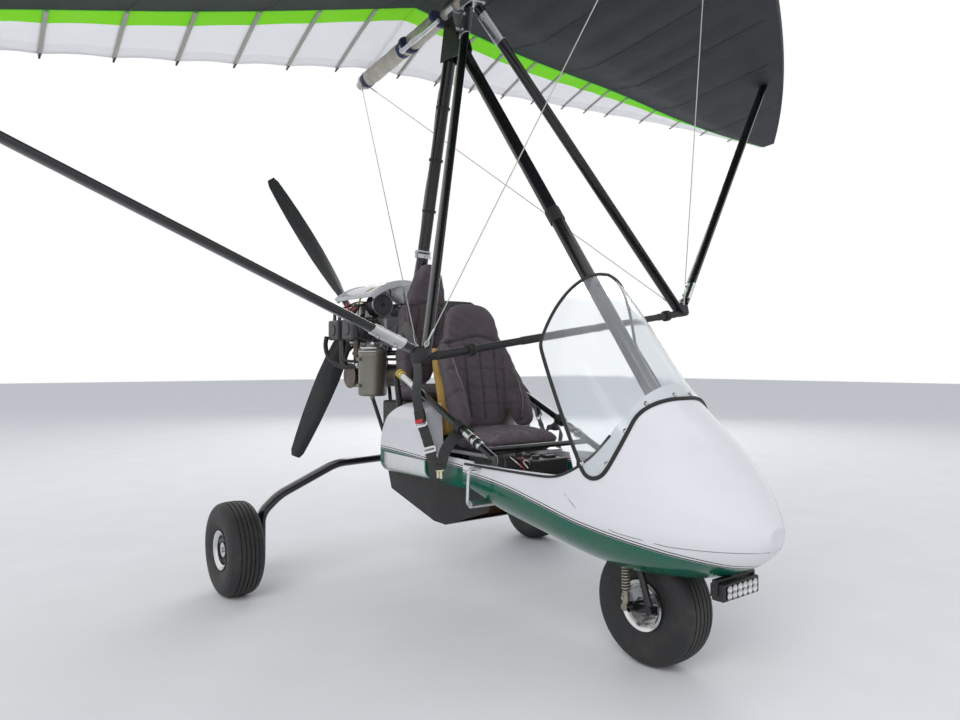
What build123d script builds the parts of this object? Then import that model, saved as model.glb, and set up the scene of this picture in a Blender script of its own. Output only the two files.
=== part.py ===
from build123d import *
import math
import os

# Two-seat flex-wing microlight (weight-shift trike with a strut-braced wing).
# Millimetres. X forward, Y to port, Z up, ground at Z = 0.
# Stations in the tables are measured forward from the main axle.

# Place of the main axle in the part's own frame
MAIN_AXLE_X = -688.95
CENTRE_LINE_Y = -22.41

# Wheels
WHEEL_BASE = 1610.0
TRACK = 1790.0
TYRE_D = 414.0
TYRE_W = 152.0
RIM_D = 162.0
RIM_W = 128.0
RIM_WALL = 6.0
HUB_D = 62.0
AXLE_D = 25.0
AXLE_CLEARANCE = 0.05
GROOVE_W = 5.0
GROOVE_DEPTH = 7.0
GROOVE_PITCH = 19.0
GROOVE_COUNT = 5

# Frame tubes
BEAM_H = 60.0
BEAM_W = 60.0
BEAM_WALL = 4.0
BEAM_Z = 545.0
BEAM_REAR_X = -165.0
BEAM_FRONT_X = WHEEL_BASE + 295.0
MAST_D = 60.0
STRUT_D = 56.0
TUBE_WALL = 3.0
MAST_FOOT_X = -92.0
FRONT_STRUT_FOOT_X = WHEEL_BASE + 250.0

# Hang point, wing attitude
HANG_X = 430.0
HANG_Z = 2620.0
HANG_BOLT_D = 12.0
KEEL_ABOVE_BOLT = 105.0
KEEL_PITCH = 6.0
WING_BANK = 8.5
KEEL_D = 50.0
KEEL_REAR = 925.0
KEEL_FRONT = 1425.0

# Control frame, in the wing's own frame (x along the keel from the hang point)
APEX_X = 137.0
BAR_X = 390.0
BAR_DROP = 1625.0
BAR_HALF = 780.0
BAR_D = 30.0
DOWNTUBE_LONG = 60.0
DOWNTUBE_THIN = 26.0
WING_STRUT_LONG = 66.0
WING_STRUT_THIN = 28.0
WING_STRUT_X = -80.0
WING_STRUT_Y = 2880.0
WIRE_D = 4.0

# Sail
SWEEP_RATE = 0.376
SWEEP_BEND = 0.0000335
NOSE_X = 1440.0
SAIL_ABOVE_KEEL = 32.0
TRAILING_THICK = 6.0
ANHEDRAL = 2.5

# Nose gear
STEER_RAKE = 17.0
FORK_HALF = 106.0
FORK_TUBE_D = 24.0
LINK_PIVOT_X = 72.0
LINK_PIVOT_RISE = 11.0
LINK_TAIL_X = -56.0
LINK_TAIL_RISE = -9.0
LINK_T = 8.0
SPRING_D = 28.0
SPRING_WIRE = 6.0
SPRING_TURNS = 9

# Body shells
SHELL = 8.0
SCREEN_T = 4.0
SCREEN_GAP = 0.5
NOSE_ROUND = 16.0
ARCH_W = 286.0

# Propeller
PROP_X = -565.0
PROP_Z = 1311.0
PROP_R = 875.0
BLADE_ROOT = 40.0
PROP_FIRST_ANGLE = 35.5
BLADE_COUNT = 3
HUB_PLATE_D = 130.0
SHAFT_D = 28.0

# Mast head and hang block
MAST_TOP_X = 410.0
MAST_TOP_Z = 2572.0
STRUT_TOP_X = 470.0
STRUT_TOP_Z = 2530.0
HEAD_PLATE_T = 8.0
# columns: x, z
HEAD_PLATE = [(362, 2470), (400, 2655), (455, 2655), (520, 2500), (500, 2462)]
HANG_BLOCK_W = 44.0
RING_GAP = 0.05

# Steering head
STEER_TRAIL = 128.0
HEAD_D = 46.0
HEAD_LENGTH = 104.0
STEERER_D = 30.0
CROWN_ABOVE_TYRE = 34.0
CROWN_T = 26.0
SPRING_BEHIND_AXLE = 27.0
SPRING_Y = 110.0
DAMPER_D = 24.0
AXLE_END_D = 20.0
AXLE_END_Y = 128.0
TOW_BORE_D = 12.0

# Seats
SEAT_ABOVE_BEAM = 80.0
SEAT_WIDTH = 400.0
FRONT_CUSHION_X = 775.0
REAR_CUSHION_X = 300.0
CUSHION_T = 80.0
BACK_T = 80.0
FRONT_BACK_X = 640.0
FRONT_LEAN = 10.0
TANK_HEIGHT = 275.0
RAIL_D = 28.0
RAIL_Y = 284.0

# Side pods and the hull between them and the nose
POD_FRONT_X = 648.0
POD_LENGTH = 386.0
POD_ABOVE_TANK = 8.0
POD_BELOW_BEAM = 17.0
POD_INNER = 205.0
POD_OUTER = 302.0
POD_SHOULDER = 78.0
HULL_REAR_X = 930.0
HULL_SIDE_Y = 268.0
HULL_SIDE_T = 6.0

# Main gear
LEG_ROOT_RISE = 11.0
LEG_INBOARD_OF_WHEEL = 120.0
LEG_KNEE_Y = 400.0
LEG_LONG = 74.0
LEG_THIN = 38.0
STEP_X = 1050.0
STEP_BAR_D = 14.0
STEP_PEG_D = 28.0
SCOOP_HALF = 200.0
SCOOP_WALL = 6.0
LAMP_X = WHEEL_BASE + 320.0
LAMP_Z = 336.0

# Engine
MOUNT_Z = 1085.0
ENGINE_ABOVE_MOUNT = 110.0
CASE_HEIGHT = 150.0
CASE_X = -190.0
FRONT_BARREL_X = -110.0
REAR_BARREL_X = -265.0
BARREL_D = 92.0
FIN_D = 116.0
FIN_COUNT = 7
FIN_PITCH = 16.0
FILTER_X = -80.0
FILTER_Y = 115.0
FILTER_Z = 1332.0
FILTER_D = 114.0
COWL_TOP = 1458.0
COWL_HALF = 205.0
COWL_DROP = 78.0
COWL_T = 8.0
OIL_X = 30.0
OIL_Y = 215.0
OIL_D = 140.0
OIL_H = 236.0
COLLAR = 8.0
BOARD_X = WHEEL_BASE + 62.0

WHEEL_Z = TYRE_D / 2
BEAM_TOP = BEAM_Z + BEAM_H / 2
MAST_SLOPE = (MAST_TOP_X - MAST_FOOT_X) / (MAST_TOP_Z - BEAM_TOP)
CROWN_Z = TYRE_D + CROWN_ABOVE_TYRE
LINK_PIVOT_Z = WHEEL_Z + LINK_PIVOT_RISE
LINK_TAIL_Z = WHEEL_Z + LINK_TAIL_RISE
LEG_FOOT_Y = TRACK / 2 - LEG_INBOARD_OF_WHEEL
PAN_Z = BEAM_TOP + SEAT_ABOVE_BEAM
TANK_TOP = BEAM_TOP + TANK_HEIGHT
ENGINE_Z = MOUNT_Z + ENGINE_ABOVE_MOUNT


def steer_x(z):
    """Station of the steering axis at a height."""
    return WHEEL_BASE + STEER_TRAIL - z * math.tan(math.radians(STEER_RAKE))


STEER = Pos(steer_x(BEAM_Z), 0, BEAM_Z) * Rot(0, -STEER_RAKE, 0)

os.makedirs("parts", exist_ok=True)


# Plain helpers
def rod(start, end, diameter):
    """A round bar between two points."""
    a = Vector(*start)
    b = Vector(*end)
    plane = Plane(origin=a, z_dir=b - a)
    return extrude(plane * Circle(diameter / 2), amount=(b - a).length)


def pipe(start, end, diameter, wall):
    """A round tube between two points."""
    a = Vector(*start)
    b = Vector(*end)
    plane = Plane(origin=a, z_dir=b - a)
    ring = Circle(diameter / 2) - Circle(diameter / 2 - wall)
    return extrude(plane * ring, amount=(b - a).length)


def block(x, y, z, size_x, size_y, size_z, edge=0):
    """A block by its middle and size, with its edges rounded by edge."""
    body = Box(size_x, size_y, size_z)
    if edge > 0:
        body = fillet(body.edges(), edge)
    return Pos(x, y, z) * body


def bent_rod(points, radius, diameter):
    """A round bar along straight runs joined by arcs of one radius."""
    path = FilletPolyline(*points, radius=radius)
    start = Plane(origin=path @ 0, z_dir=path % 0)
    return sweep(start * Circle(diameter / 2), path=path)


def blade_tube(start, end, long, thin, forward):
    """A streamlined tube: an ellipse carried straight, its long side forward."""
    a = Vector(*start)
    b = Vector(*end)
    plane = Plane(origin=a, x_dir=forward, z_dir=b - a)
    return extrude(plane * Ellipse(long / 2, thin / 2), amount=(b - a).length)


def trimmed(shape, *others):
    """The largest piece of a shape after what it is fastened to is taken out of it."""
    for other in others:
        shape = shape - other
    return shape.solids().sort_by(SortBy.VOLUME)[-1]


def joined(shapes):
    """One solid from pieces that overlap."""
    whole = shapes[0]
    for shape in shapes[1:]:
        whole += shape
    return whole


def save(name, shapes):
    """Move the node to the part's frame and write it."""
    if not isinstance(shapes, (list, tuple)):
        shapes = [shapes]
    solids = [s for shape in shapes for s in shape.solids()]
    place = Location((MAIN_AXLE_X, CENTRE_LINE_Y, 0))
    node = Compound(children=[s.moved(place) for s in solids])
    export_step(node, f"parts/{name}.step")


# Wheels
def tyre():
    """Section of a ribbed tyre, turned about the wheel's own axle (Y)."""
    half = TYRE_W / 2
    outer = TYRE_D / 2
    rim = RIM_D / 2
    shoulder = outer - 26
    seat = RIM_W / 2 - 9
    with BuildSketch(Plane.XY) as section:
        with BuildLine():
            Line((rim, -seat), (rim, seat))
            Line((rim, seat), (rim + 8, seat + 4))
            ThreePointArc((rim + 8, seat + 4), ((rim + shoulder) / 2, half), (shoulder, half - 4))
            ThreePointArc((shoulder, half - 4), (outer - 9, half - 18), (outer - 3, half - 34))
            ThreePointArc((outer - 3, half - 34), (outer, 0), (outer - 3, 34 - half))
            ThreePointArc((outer - 3, 34 - half), (outer - 9, 18 - half), (shoulder, 4 - half))
            ThreePointArc((shoulder, 4 - half), ((rim + shoulder) / 2, -half), (rim + 8, -seat - 4))
            Line((rim + 8, -seat - 4), (rim, -seat))
        make_face()
        first = -GROOVE_PITCH * (GROOVE_COUNT - 1) / 2
        for number in range(GROOVE_COUNT):
            place = first + number * GROOVE_PITCH
            with Locations((outer, place)):
                Rectangle(2 * GROOVE_DEPTH, GROOVE_W, mode=Mode.SUBTRACT)
    return revolve(section.sketch, axis=Axis.Y)


def rim():
    """A cast rim: flanges, a drop centre, a web with five windows and a bored hub."""
    r = RIM_D / 2
    half = RIM_W / 2
    hub = HUB_D / 2
    bore = AXLE_D / 2 + AXLE_CLEARANCE
    # columns: radius, y
    profile = [
        (bore, -half + 12), (hub, -half + 12), (hub, -9), (r - 16, -9), (r - 16, -half + 10),
        (r - RIM_WALL, -half + 2), (r + 5, -half - 2), (r + 5, -half + 3), (r, -half + 8),
        (r, half - 8), (r + 5, half - 3), (r + 5, half + 2), (r - RIM_WALL, half - 2),
        (r - 16, half - 10), (r - 16, 9), (hub, 9), (hub, half - 12), (bore, half - 12),
    ]
    with BuildSketch(Plane.XY) as section:
        with BuildLine():
            Polyline(*profile, close=True)
        make_face()
    body = revolve(section.sketch, axis=Axis.Y)
    middle = (hub + r - 16) / 2
    for number in range(5):
        turn = Rot(0, number * 72, 0) * Pos(middle, 0, 0) * Rot(90, 0, 0)
        body -= turn * Cylinder(8, 60)
    return body


def wheel_at(x, y):
    """Tyre and rim moved to a wheel's place."""
    place = Pos(x, y, WHEEL_Z)
    return place * tyre(), place * rim()


# Wing frame: x along the keel, y to port, z up, origin on the keel over the hang bolt
WING = (Pos(HANG_X, 0, HANG_Z) * Rot(0, -KEEL_PITCH, 0) * Pos(0, 0, KEEL_ABOVE_BOLT)
        * Rot(WING_BANK, 0, 0))


def sail_sections():
    """Stations of the sail, from the middle of the wing to the tip."""
    # columns: y, trailing_x behind the nose, double_x behind the nose, thickness, washout
    return [
        (0, 2240, 1740, 205, 0),
        (900, 2300, 1935, 182, 4),
        (1900, 2340, 2095, 142, 10),
        (2900, 2390, 2290, 100, 16),
        (3800, 2460, 2425, 56, 14),
        (4480, 2505, 2485, 24, 2),
    ]


def upper_arcs(y, trailing, thickness, washout):
    """Leading, crest and trailing points of one station, in the wing's frame."""
    lead = NOSE_X - SWEEP_RATE * y - SWEEP_BEND * y ** 2
    chord = lead - (NOSE_X - trailing)
    base = SAIL_ABOVE_KEEL - y * math.tan(math.radians(ANHEDRAL))
    crest = (lead - 0.32 * chord, base + thickness)
    front = (lead, base + 0.36 * thickness)
    rear = (lead - chord, base + 14 + washout)
    return front, crest, rear, base


def crest_height(x, crest, rear):
    """Height of the rear arc, which is level at the crest, above station x."""
    run = crest[0] - rear[0]
    drop = crest[1] - rear[1]
    radius = (run ** 2 + drop ** 2) / (2 * drop)
    return crest[1] - radius + math.sqrt(radius ** 2 - (crest[0] - x) ** 2)


def sail_front_section(y, trailing, double, thickness, washout):
    """Closed outline of the double surface at one station."""
    front, crest, rear, base = upper_arcs(y, trailing, thickness, washout)
    join_x = NOSE_X - double
    join_z = crest_height(join_x, crest, rear)
    mid_x = (crest[0] + join_x) / 2
    low = (front[0] - 0.07 * thickness - 10, base)
    plane = Plane(origin=(0, y, 0), x_dir=(1, 0, 0), z_dir=(0, -1, 0))
    with BuildSketch(plane) as section:
        with BuildLine():
            TangentArc(crest, front, tangent=(1, 0))
            Line(front, low)
            Line(low, (join_x + 0.2 * (low[0] - join_x), base + 4))
            Line((join_x + 0.2 * (low[0] - join_x), base + 4), (join_x, join_z - TRAILING_THICK))
            Line((join_x, join_z - TRAILING_THICK), (join_x, join_z))
            ThreePointArc((join_x, join_z), (mid_x, crest_height(mid_x, crest, rear)), crest)
        make_face()
    return section.sketch


def sail_rear_section(y, trailing, double, thickness, washout):
    """Closed outline of the single surface at one station."""
    front, crest, rear, base = upper_arcs(y, trailing, thickness, washout)
    join_x = NOSE_X - double
    join_z = crest_height(join_x, crest, rear)
    mid_x = (join_x + rear[0]) / 2
    mid_z = crest_height(mid_x, crest, rear)
    t = TRAILING_THICK
    plane = Plane(origin=(0, y, 0), x_dir=(1, 0, 0), z_dir=(0, -1, 0))
    with BuildSketch(plane) as section:
        with BuildLine():
            ThreePointArc(rear, (mid_x, mid_z), (join_x, join_z))
            Line((join_x, join_z), (join_x, join_z - t))
            ThreePointArc((join_x, join_z - t), (mid_x, mid_z - t), (rear[0], rear[1] - t))
            Line((rear[0], rear[1] - t), rear)
        make_face()
    return section.sketch


def wing_nodes():
    """Everything that rolls and pitches with the wing."""
    nodes = {}
    front = loft([sail_front_section(*row) for row in sail_sections()])
    rear = loft([sail_rear_section(*row) for row in sail_sections()])
    nodes["sail_left"] = front
    nodes["sail_right"] = mirror(front, about=Plane.XZ)
    nodes["rear_sail_left"] = rear
    nodes["rear_sail_right"] = mirror(rear, about=Plane.XZ)
    keel = pipe((-KEEL_REAR, 0, 0), (KEEL_FRONT, 0, 0), KEEL_D, TUBE_WALL)
    nodes["wing_keel"] = keel
    plate_z = -KEEL_D / 2 - 4
    nodes["nose_plate"] = block(KEEL_FRONT - 60, 0, plate_z, 150, 130, 8, 1)
    apex = trimmed(block(APEX_X, 0, -KEEL_D / 2 - 17, 90, 86, 40, 6), keel)
    nodes["apex_bracket"] = apex
    bar = pipe((BAR_X, -BAR_HALF - 20, -BAR_DROP), (BAR_X, BAR_HALF + 20, -BAR_DROP), BAR_D,
               TUBE_WALL)
    corners = {}
    for side in (1, -1):
        corners[side] = block(BAR_X - 4, side * (BAR_HALF + 18), -BAR_DROP + 14, 56, 66, 62, 18)
    for side, name in ((1, "left"), (-1, "right")):
        top = (APEX_X, side * 28, -KEEL_D / 2 - 36)
        corner = (BAR_X, side * BAR_HALF, -BAR_DROP)
        tube = blade_tube(top, corner, DOWNTUBE_LONG, DOWNTUBE_THIN, (1, 0, 0))
        nodes[f"downtube_{name}"] = trimmed(tube, apex, corners[side], bar)
        strut_z = SAIL_ABOVE_KEEL - WING_STRUT_Y * math.tan(math.radians(ANHEDRAL)) + 6
        head = (WING_STRUT_X, side * WING_STRUT_Y, strut_z)
        foot = (BAR_X - 12, side * (BAR_HALF + 45), -BAR_DROP + 40)
        tube = blade_tube(foot, head, WING_STRUT_LONG, WING_STRUT_THIN, (1, 0, 0))
        nodes[f"wing_strut_{name}"] = trimmed(tube, corners[side], nodes[f"sail_{name}"])
    nodes["base_bar"] = joined([bar, corners[1], corners[-1]])
    tubes = [nodes[f"{kind}_{name}"] for kind in ("downtube", "wing_strut") for name in ("left", "right")]
    front_wires = []
    rear_wires = []
    for side in (1, -1):
        corner = (BAR_X + 20, side * (BAR_HALF + 10), -BAR_DROP + 34)
        wire = rod(corner, (KEEL_FRONT - 20, side * 50, plate_z), WIRE_D)
        front_wires.append(trimmed(wire, nodes["base_bar"], nodes["nose_plate"], *tubes))
        aft = (BAR_X - 28, side * (BAR_HALF + 10), -BAR_DROP + 34)
        wire = rod(aft, (-KEEL_REAR + 40, side * 18, -10), WIRE_D)
        rear_wires.append(trimmed(wire, nodes["base_bar"], keel, *tubes))
    nodes["front_wires"] = front_wires
    nodes["rear_wires"] = rear_wires
    placed = {}
    for name, shapes in nodes.items():
        if not isinstance(shapes, list):
            shapes = [shapes]
        placed[name] = [WING * s for s in shapes]
    return placed


# Body shell
def shell_sections():
    """Stations of the nose pod: an egg of two half ellipses at each."""
    # columns: x, bottom_z, middle_z, top_z, half_width
    return [
        (HULL_REAR_X, 508, 570, 1440, 318),
        (HULL_REAR_X + 320, 385, 560, 1440, 330),
        (WHEEL_BASE - 110, 335, 545, 1205, 322),
        (WHEEL_BASE + 110, 326, 530, 938, 278),
        (WHEEL_BASE + 290, 364, 518, 780, 208),
        (WHEEL_BASE + 400, 418, 513, 650, 128),
        (WHEEL_BASE + 462, 484, 511, 545, 38),
    ]


def egg(x, bottom, middle, top, half, inset):
    """One closed station outline, drawn inward by inset."""
    plane = Plane(origin=(x, 0, 0), x_dir=(0, 1, 0), z_dir=(1, 0, 0))
    w = half - inset
    with BuildSketch(plane) as section:
        with BuildLine():
            EllipticalCenterArc((0, middle), w, top - middle - inset, 0, arc_size=180)
            EllipticalCenterArc((0, middle), w, middle - bottom - inset, 180, arc_size=180)
        make_face()
    return section.sketch


def pod_body(inset):
    """The whole pod as a solid, inset inwards, or outwards when negative."""
    rows = shell_sections()
    sections = []
    for number, (x, bottom, middle, top, half) in enumerate(rows):
        shift = 0
        if number == len(rows) - 1:
            shift = -inset
        if number == 0 and inset > 0:
            shift = -inset - 1
        sections.append(egg(x + shift, bottom, middle, top, half, inset))
    body = loft(sections)
    if inset > 0:
        return body
    return fillet(body.edges().group_by(Axis.X)[-1], NOSE_ROUND)


def side_plane(y):
    """The plane of a side view at a distance to port: x forward, z up."""
    return Plane(origin=(0, y, 0), x_dir=(1, 0, 0), z_dir=(0, -1, 0))


def side_cut(points):
    """A prism through the whole width, from an outline in side view."""
    half = 600
    outline = make_face(Polyline(*points, close=True))
    return extrude(side_plane(half) * outline, amount=2 * half)


# Outlines in side view, columns: x ahead of the nose wheel's axle, z
SEAM = [(-135, 655), (-110, 600), (-40, 540), (80, 500), (240, 478), (490, 474)]
RIM = [(-135, 657), (-67, 692), (-10, 735), (30, 803), (60, 890), (80, 942), (102, 1010)]
SCREEN_ARCS = [
    ((-225, 1385), (-283, 1215), (-301, 1100)),
    ((-48, 690), (-6, 655), (38, 680)),
    ((38, 680), (68, 757), (83, 830)),
    ((83, 830), (96, 880), (135, 914)),
]


def ahead(points):
    """Points of an outline moved to their place at the nose wheel."""
    return [(WHEEL_BASE + x, z) for x, z in points]


def screen_zone():
    """The part of the pod's side view that is glazed: arcs joined by straight edges."""
    with BuildSketch(side_plane(600)) as zone:
        with BuildLine():
            top = WHEEL_BASE + SCREEN_ARCS[0][0][0]
            far = WHEEL_BASE + 300
            for arc in SCREEN_ARCS:
                ThreePointArc(*ahead(arc))
            Line(*ahead([SCREEN_ARCS[0][2], SCREEN_ARCS[1][0]]))
            Polyline(ahead([SCREEN_ARCS[3][2]])[0], (far, 914), (far, 1420), (top, 1420),
                     ahead([SCREEN_ARCS[0][0]])[0])
        make_face()
    return extrude(zone.sketch, amount=1200)


def pod_nodes():
    """Nose cone, tub with the hull's sides, and windscreen, cut from one body."""
    outer = pod_body(0)
    inner = pod_body(SHELL)
    shell = outer - inner
    arch_top = TYRE_D + 26
    arch = Pos(WHEEL_BASE, 0, arch_top - 120) * extrude(RectangleRounded(450, ARCH_W, 90), amount=120)
    above_seam = side_cut(ahead(SEAM + [(490, 1100)] + RIM[:0:-1]))
    cone = shell & above_seam
    low_edge = [(HULL_REAR_X - 5, 300), (WHEEL_BASE + 500, 300)]
    top_edge = ahead([RIM[0]]) + [(HULL_REAR_X - 5, 642)]
    tub = (shell & side_cut(low_edge + ahead(SEAM[::-1]) + top_edge)) - arch
    hull_sides = []
    z_low = BEAM_Z - POD_BELOW_BEAM
    outline = [(POD_FRONT_X, z_low), (POD_FRONT_X, PAN_Z - 8), (HULL_REAR_X, 640),
               (HULL_REAR_X + 26, 560), (HULL_REAR_X + 26, z_low)]
    for side in (1, -1):
        panel = extrude(side_plane(side * HULL_SIDE_Y) * make_face(Polyline(*outline, close=True)),
                        amount=side * HULL_SIDE_T)
        hull_sides.append(trimmed(panel, shell))
    glass = (pod_body(-SCREEN_T - SCREEN_GAP) - pod_body(-SCREEN_GAP)) & screen_zone()
    return {"nose_cone": cone, "pod_tub": [tub] + hull_sides, "windscreen": glass}


# Chassis
def mast_x(z):
    """Station of the mast's axis at a height."""
    return MAST_FOOT_X + MAST_SLOPE * (z - BEAM_TOP)


def cut_below(shape, z):
    """The part of a shape above a level."""
    return shape - Pos(0, 0, z - 500) * Box(8000, 800, 1000)


def frame_nodes():
    """Beam, mast, front strut, mast head, seat frame and seat base."""
    nodes = {}
    length = BEAM_FRONT_X - BEAM_REAR_X
    middle = (BEAM_FRONT_X + BEAM_REAR_X) / 2
    beam = Pos(middle, 0, BEAM_Z) * (
        Box(length, BEAM_W, BEAM_H) - Box(length, BEAM_W - 2 * BEAM_WALL, BEAM_H - 2 * BEAM_WALL))
    head = STEER * Cylinder(HEAD_D / 2, HEAD_LENGTH)
    bore = STEER * Cylinder(STEERER_D / 2 + AXLE_CLEARANCE, HEAD_LENGTH + 200)
    nodes["keel_beam"] = (beam + head) - bore
    low = BEAM_TOP - 40
    mast = pipe((mast_x(low), 0, low), (MAST_TOP_X, 0, MAST_TOP_Z), MAST_D, TUBE_WALL)
    nodes["mast"] = cut_below(mast, BEAM_TOP)
    dx = (STRUT_TOP_X - FRONT_STRUT_FOOT_X) / (STRUT_TOP_Z - BEAM_TOP)
    strut = pipe((FRONT_STRUT_FOOT_X - 60 * dx, 0, BEAM_TOP - 60), (STRUT_TOP_X, 0, STRUT_TOP_Z),
                 STRUT_D, TUBE_WALL)
    nodes["front_strut"] = cut_below(strut, BEAM_TOP)
    plates = []
    for side in (1, -1):
        plane = Plane(origin=(0, side * MAST_D / 2, 0), x_dir=(1, 0, 0), z_dir=(0, -1, 0))
        with BuildSketch(plane) as outline:
            with BuildLine():
                Polyline(*HEAD_PLATE, close=True)
            make_face()
            with Locations((HANG_X, HANG_Z)):
                Circle(HANG_BOLT_D / 2, mode=Mode.SUBTRACT)
        plates.append(extrude(outline.sketch, amount=-side * HEAD_PLATE_T))
    bolt = Pos(HANG_X, 0, HANG_Z) * Rot(90, 0, 0) * Cylinder(HANG_BOLT_D / 2, MAST_D + 44)
    nodes["mast_head"] = plates[0] + bolt + plates[1]
    return nodes


def seat_wing(side, half, tall):
    """Side bolster of a backrest: deep at the hip, running out towards the shoulder."""
    wide = 44
    deep = 120
    outline = [(-BACK_T / 2 + 12, 10), (deep - 25, 10), (deep, 50), (deep - 12, 0.32 * tall),
               (BACK_T / 2 + 14, 0.9 * tall), (-BACK_T / 2 + 12, 0.9 * tall)]
    start = side_plane(side * (half - wide / 2) + wide / 2)
    wing = extrude(start * make_face(Polyline(*outline, close=True)), amount=wide)
    return fillet(wing.edges(), 12)


def pod_shell(side):
    """One side pod: its side view cut with its front view, so that both are rounded."""
    front = POD_FRONT_X
    rear = POD_FRONT_X - POD_LENGTH
    low = BEAM_Z - POD_BELOW_BEAM
    high = TANK_TOP + POD_ABOVE_TANK
    with BuildSketch(side_plane(side * POD_INNER)) as side_view:
        with BuildLine():
            Line((front, low), (front - 30, high))
            Line((front - 30, high), (rear + 208, high))
            ThreePointArc((rear + 208, high), (rear + 66, high - 66), (rear, high - 190))
            Polyline((rear, high - 190), (rear, low), (front, low))
        make_face()
    wide = side * (POD_OUTER - POD_INNER)
    body = extrude(side_view.sketch, amount=-wide)
    edge = side * POD_OUTER
    inner = side * POD_INNER
    shoulder = side * POD_SHOULDER
    with BuildSketch(Plane(origin=(rear - 50, 0, 0), x_dir=(0, 1, 0), z_dir=(1, 0, 0))) as front_view:
        with BuildLine():
            Polyline((inner, high), (inner, low), (edge - 0.5 * shoulder, low))
            ThreePointArc((edge - 0.5 * shoulder, low), (edge - 0.15 * shoulder, low + 20),
                          (edge, low + 70))
            Line((edge, low + 70), (edge, high - 1.4 * POD_SHOULDER))
            ThreePointArc((edge, high - 1.4 * POD_SHOULDER),
                          (edge - 0.25 * shoulder, high - 0.42 * POD_SHOULDER),
                          (edge - shoulder, high))
            Line((edge - shoulder, high), (inner, high))
        make_face()
    return body & extrude(front_view.sketch, amount=POD_LENGTH + 100)


def seat_nodes():
    """Seats, seat pan, seat rails, tank box, side pods and the pouch behind the front seat."""
    nodes = {}
    pan_t = 14
    pan = block(FRONT_CUSHION_X, 0, PAN_Z, 360, SEAT_WIDTH, pan_t)
    posts = [block(FRONT_CUSHION_X + shift, 0, (BEAM_TOP + PAN_Z) / 2, 50, 200, SEAT_ABOVE_BEAM)
             for shift in (-120, 120)]
    nodes["seat_pan"] = joined([pan] + posts)
    seat_z = PAN_Z + pan_t / 2
    # columns: node, middle x, bottom z, length, width, depth
    for name, x, z, length, wide, deep in (
            ("front_cushion", FRONT_CUSHION_X + 10, seat_z, 360, SEAT_WIDTH, CUSHION_T),
            ("rear_cushion", REAR_CUSHION_X, TANK_TOP, 340, SEAT_WIDTH - 10, CUSHION_T)):
        nodes[name] = block(x, 0, z + deep / 2 + 0.3, length, wide, deep, 22)
    mast_lean = math.degrees(math.atan(MAST_SLOPE))
    off_mast = (MAST_D + 2 * COLLAR + BACK_T) / 2 / math.cos(math.radians(mast_lean))
    rear_foot_z = TANK_TOP + CUSHION_T - 20
    # columns: node, foot x, foot z, lean forwards (degrees), height, half width, cushion
    for name, x, z, lean, tall, half, cushion in (
            ("front_backrest", FRONT_BACK_X, seat_z + CUSHION_T - 20, -FRONT_LEAN, 450, 198,
             "front_cushion"),
            ("rear_backrest", mast_x(rear_foot_z) + off_mast, rear_foot_z, mast_lean, 480, 144,
             "rear_cushion")):
        place = Pos(x, 0, z) * Rot(0, lean, 0)
        back = block(0, 0, tall / 2, BACK_T, 2 * half - 24, tall, 24)
        head = block(0, 0, tall + 60, BACK_T, 235, 160, 24)
        wings = [seat_wing(side, half, tall) for side in (1, -1)]
        nodes[name] = trimmed(place * joined([back, head] + wings), nodes[cushion])
    pouch_place = Pos(FRONT_BACK_X, 0, seat_z + CUSHION_T - 20) * Rot(0, -FRONT_LEAN, 0)
    nodes["seat_pouch"] = pouch_place * block(-BACK_T / 2 - 13, 0, 170, 26, 300, 340, 8)
    rails = []
    for side in (1, -1):
        points = [(345, side * 245, TANK_TOP - 60), (362, side * (RAIL_Y - 4), 1000),
                  (1090, side * RAIL_Y, 668), (1170, side * 350, 628)]
        rails.append(bent_rod(points, 30, RAIL_D))
    cross = rod((1030, -RAIL_Y, 695), (1030, RAIL_Y, 695), 22)
    rails = [trimmed(rail, pod_body(0) - pod_body(SHELL)) for rail in rails]
    nodes["tank_box"] = block(290, 0, (BEAM_TOP + TANK_TOP) / 2, 360, 2 * POD_INNER,
                              TANK_TOP - BEAM_TOP, 12)
    side_pods = [pod_shell(side) for side in (1, -1)]
    nodes["side_pods"] = side_pods
    nodes["seat_rails"] = trimmed(joined([rails[0], cross, rails[1]]), *side_pods)
    return nodes


def lamp_body():
    """Light bar: a housing with a sunk face, cooling fins behind and a bent stay above."""
    long, deep, tall = 190, 44, 54
    lamp = block(LAMP_X, 0, LAMP_Z, deep, long, tall, 5)
    lamp -= block(LAMP_X + deep / 2, 0, LAMP_Z, 14, long - 22, tall - 16)
    for number in range(9):
        y = (number - 4) * 20
        lamp += block(LAMP_X - deep / 2 - 5, y, LAMP_Z, 14, 5, tall - 14)
    for side in (1, -1):
        lamp += block(LAMP_X - 6, side * (long / 2 + 2), LAMP_Z + 14, 20, 6, 46)
    lamp += block(LAMP_X - 6, 0, LAMP_Z + 35, 20, long + 10, 6)
    return lamp + block(LAMP_X - 6, 0, LAMP_Z + 64, 20, 50, 60)


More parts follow.
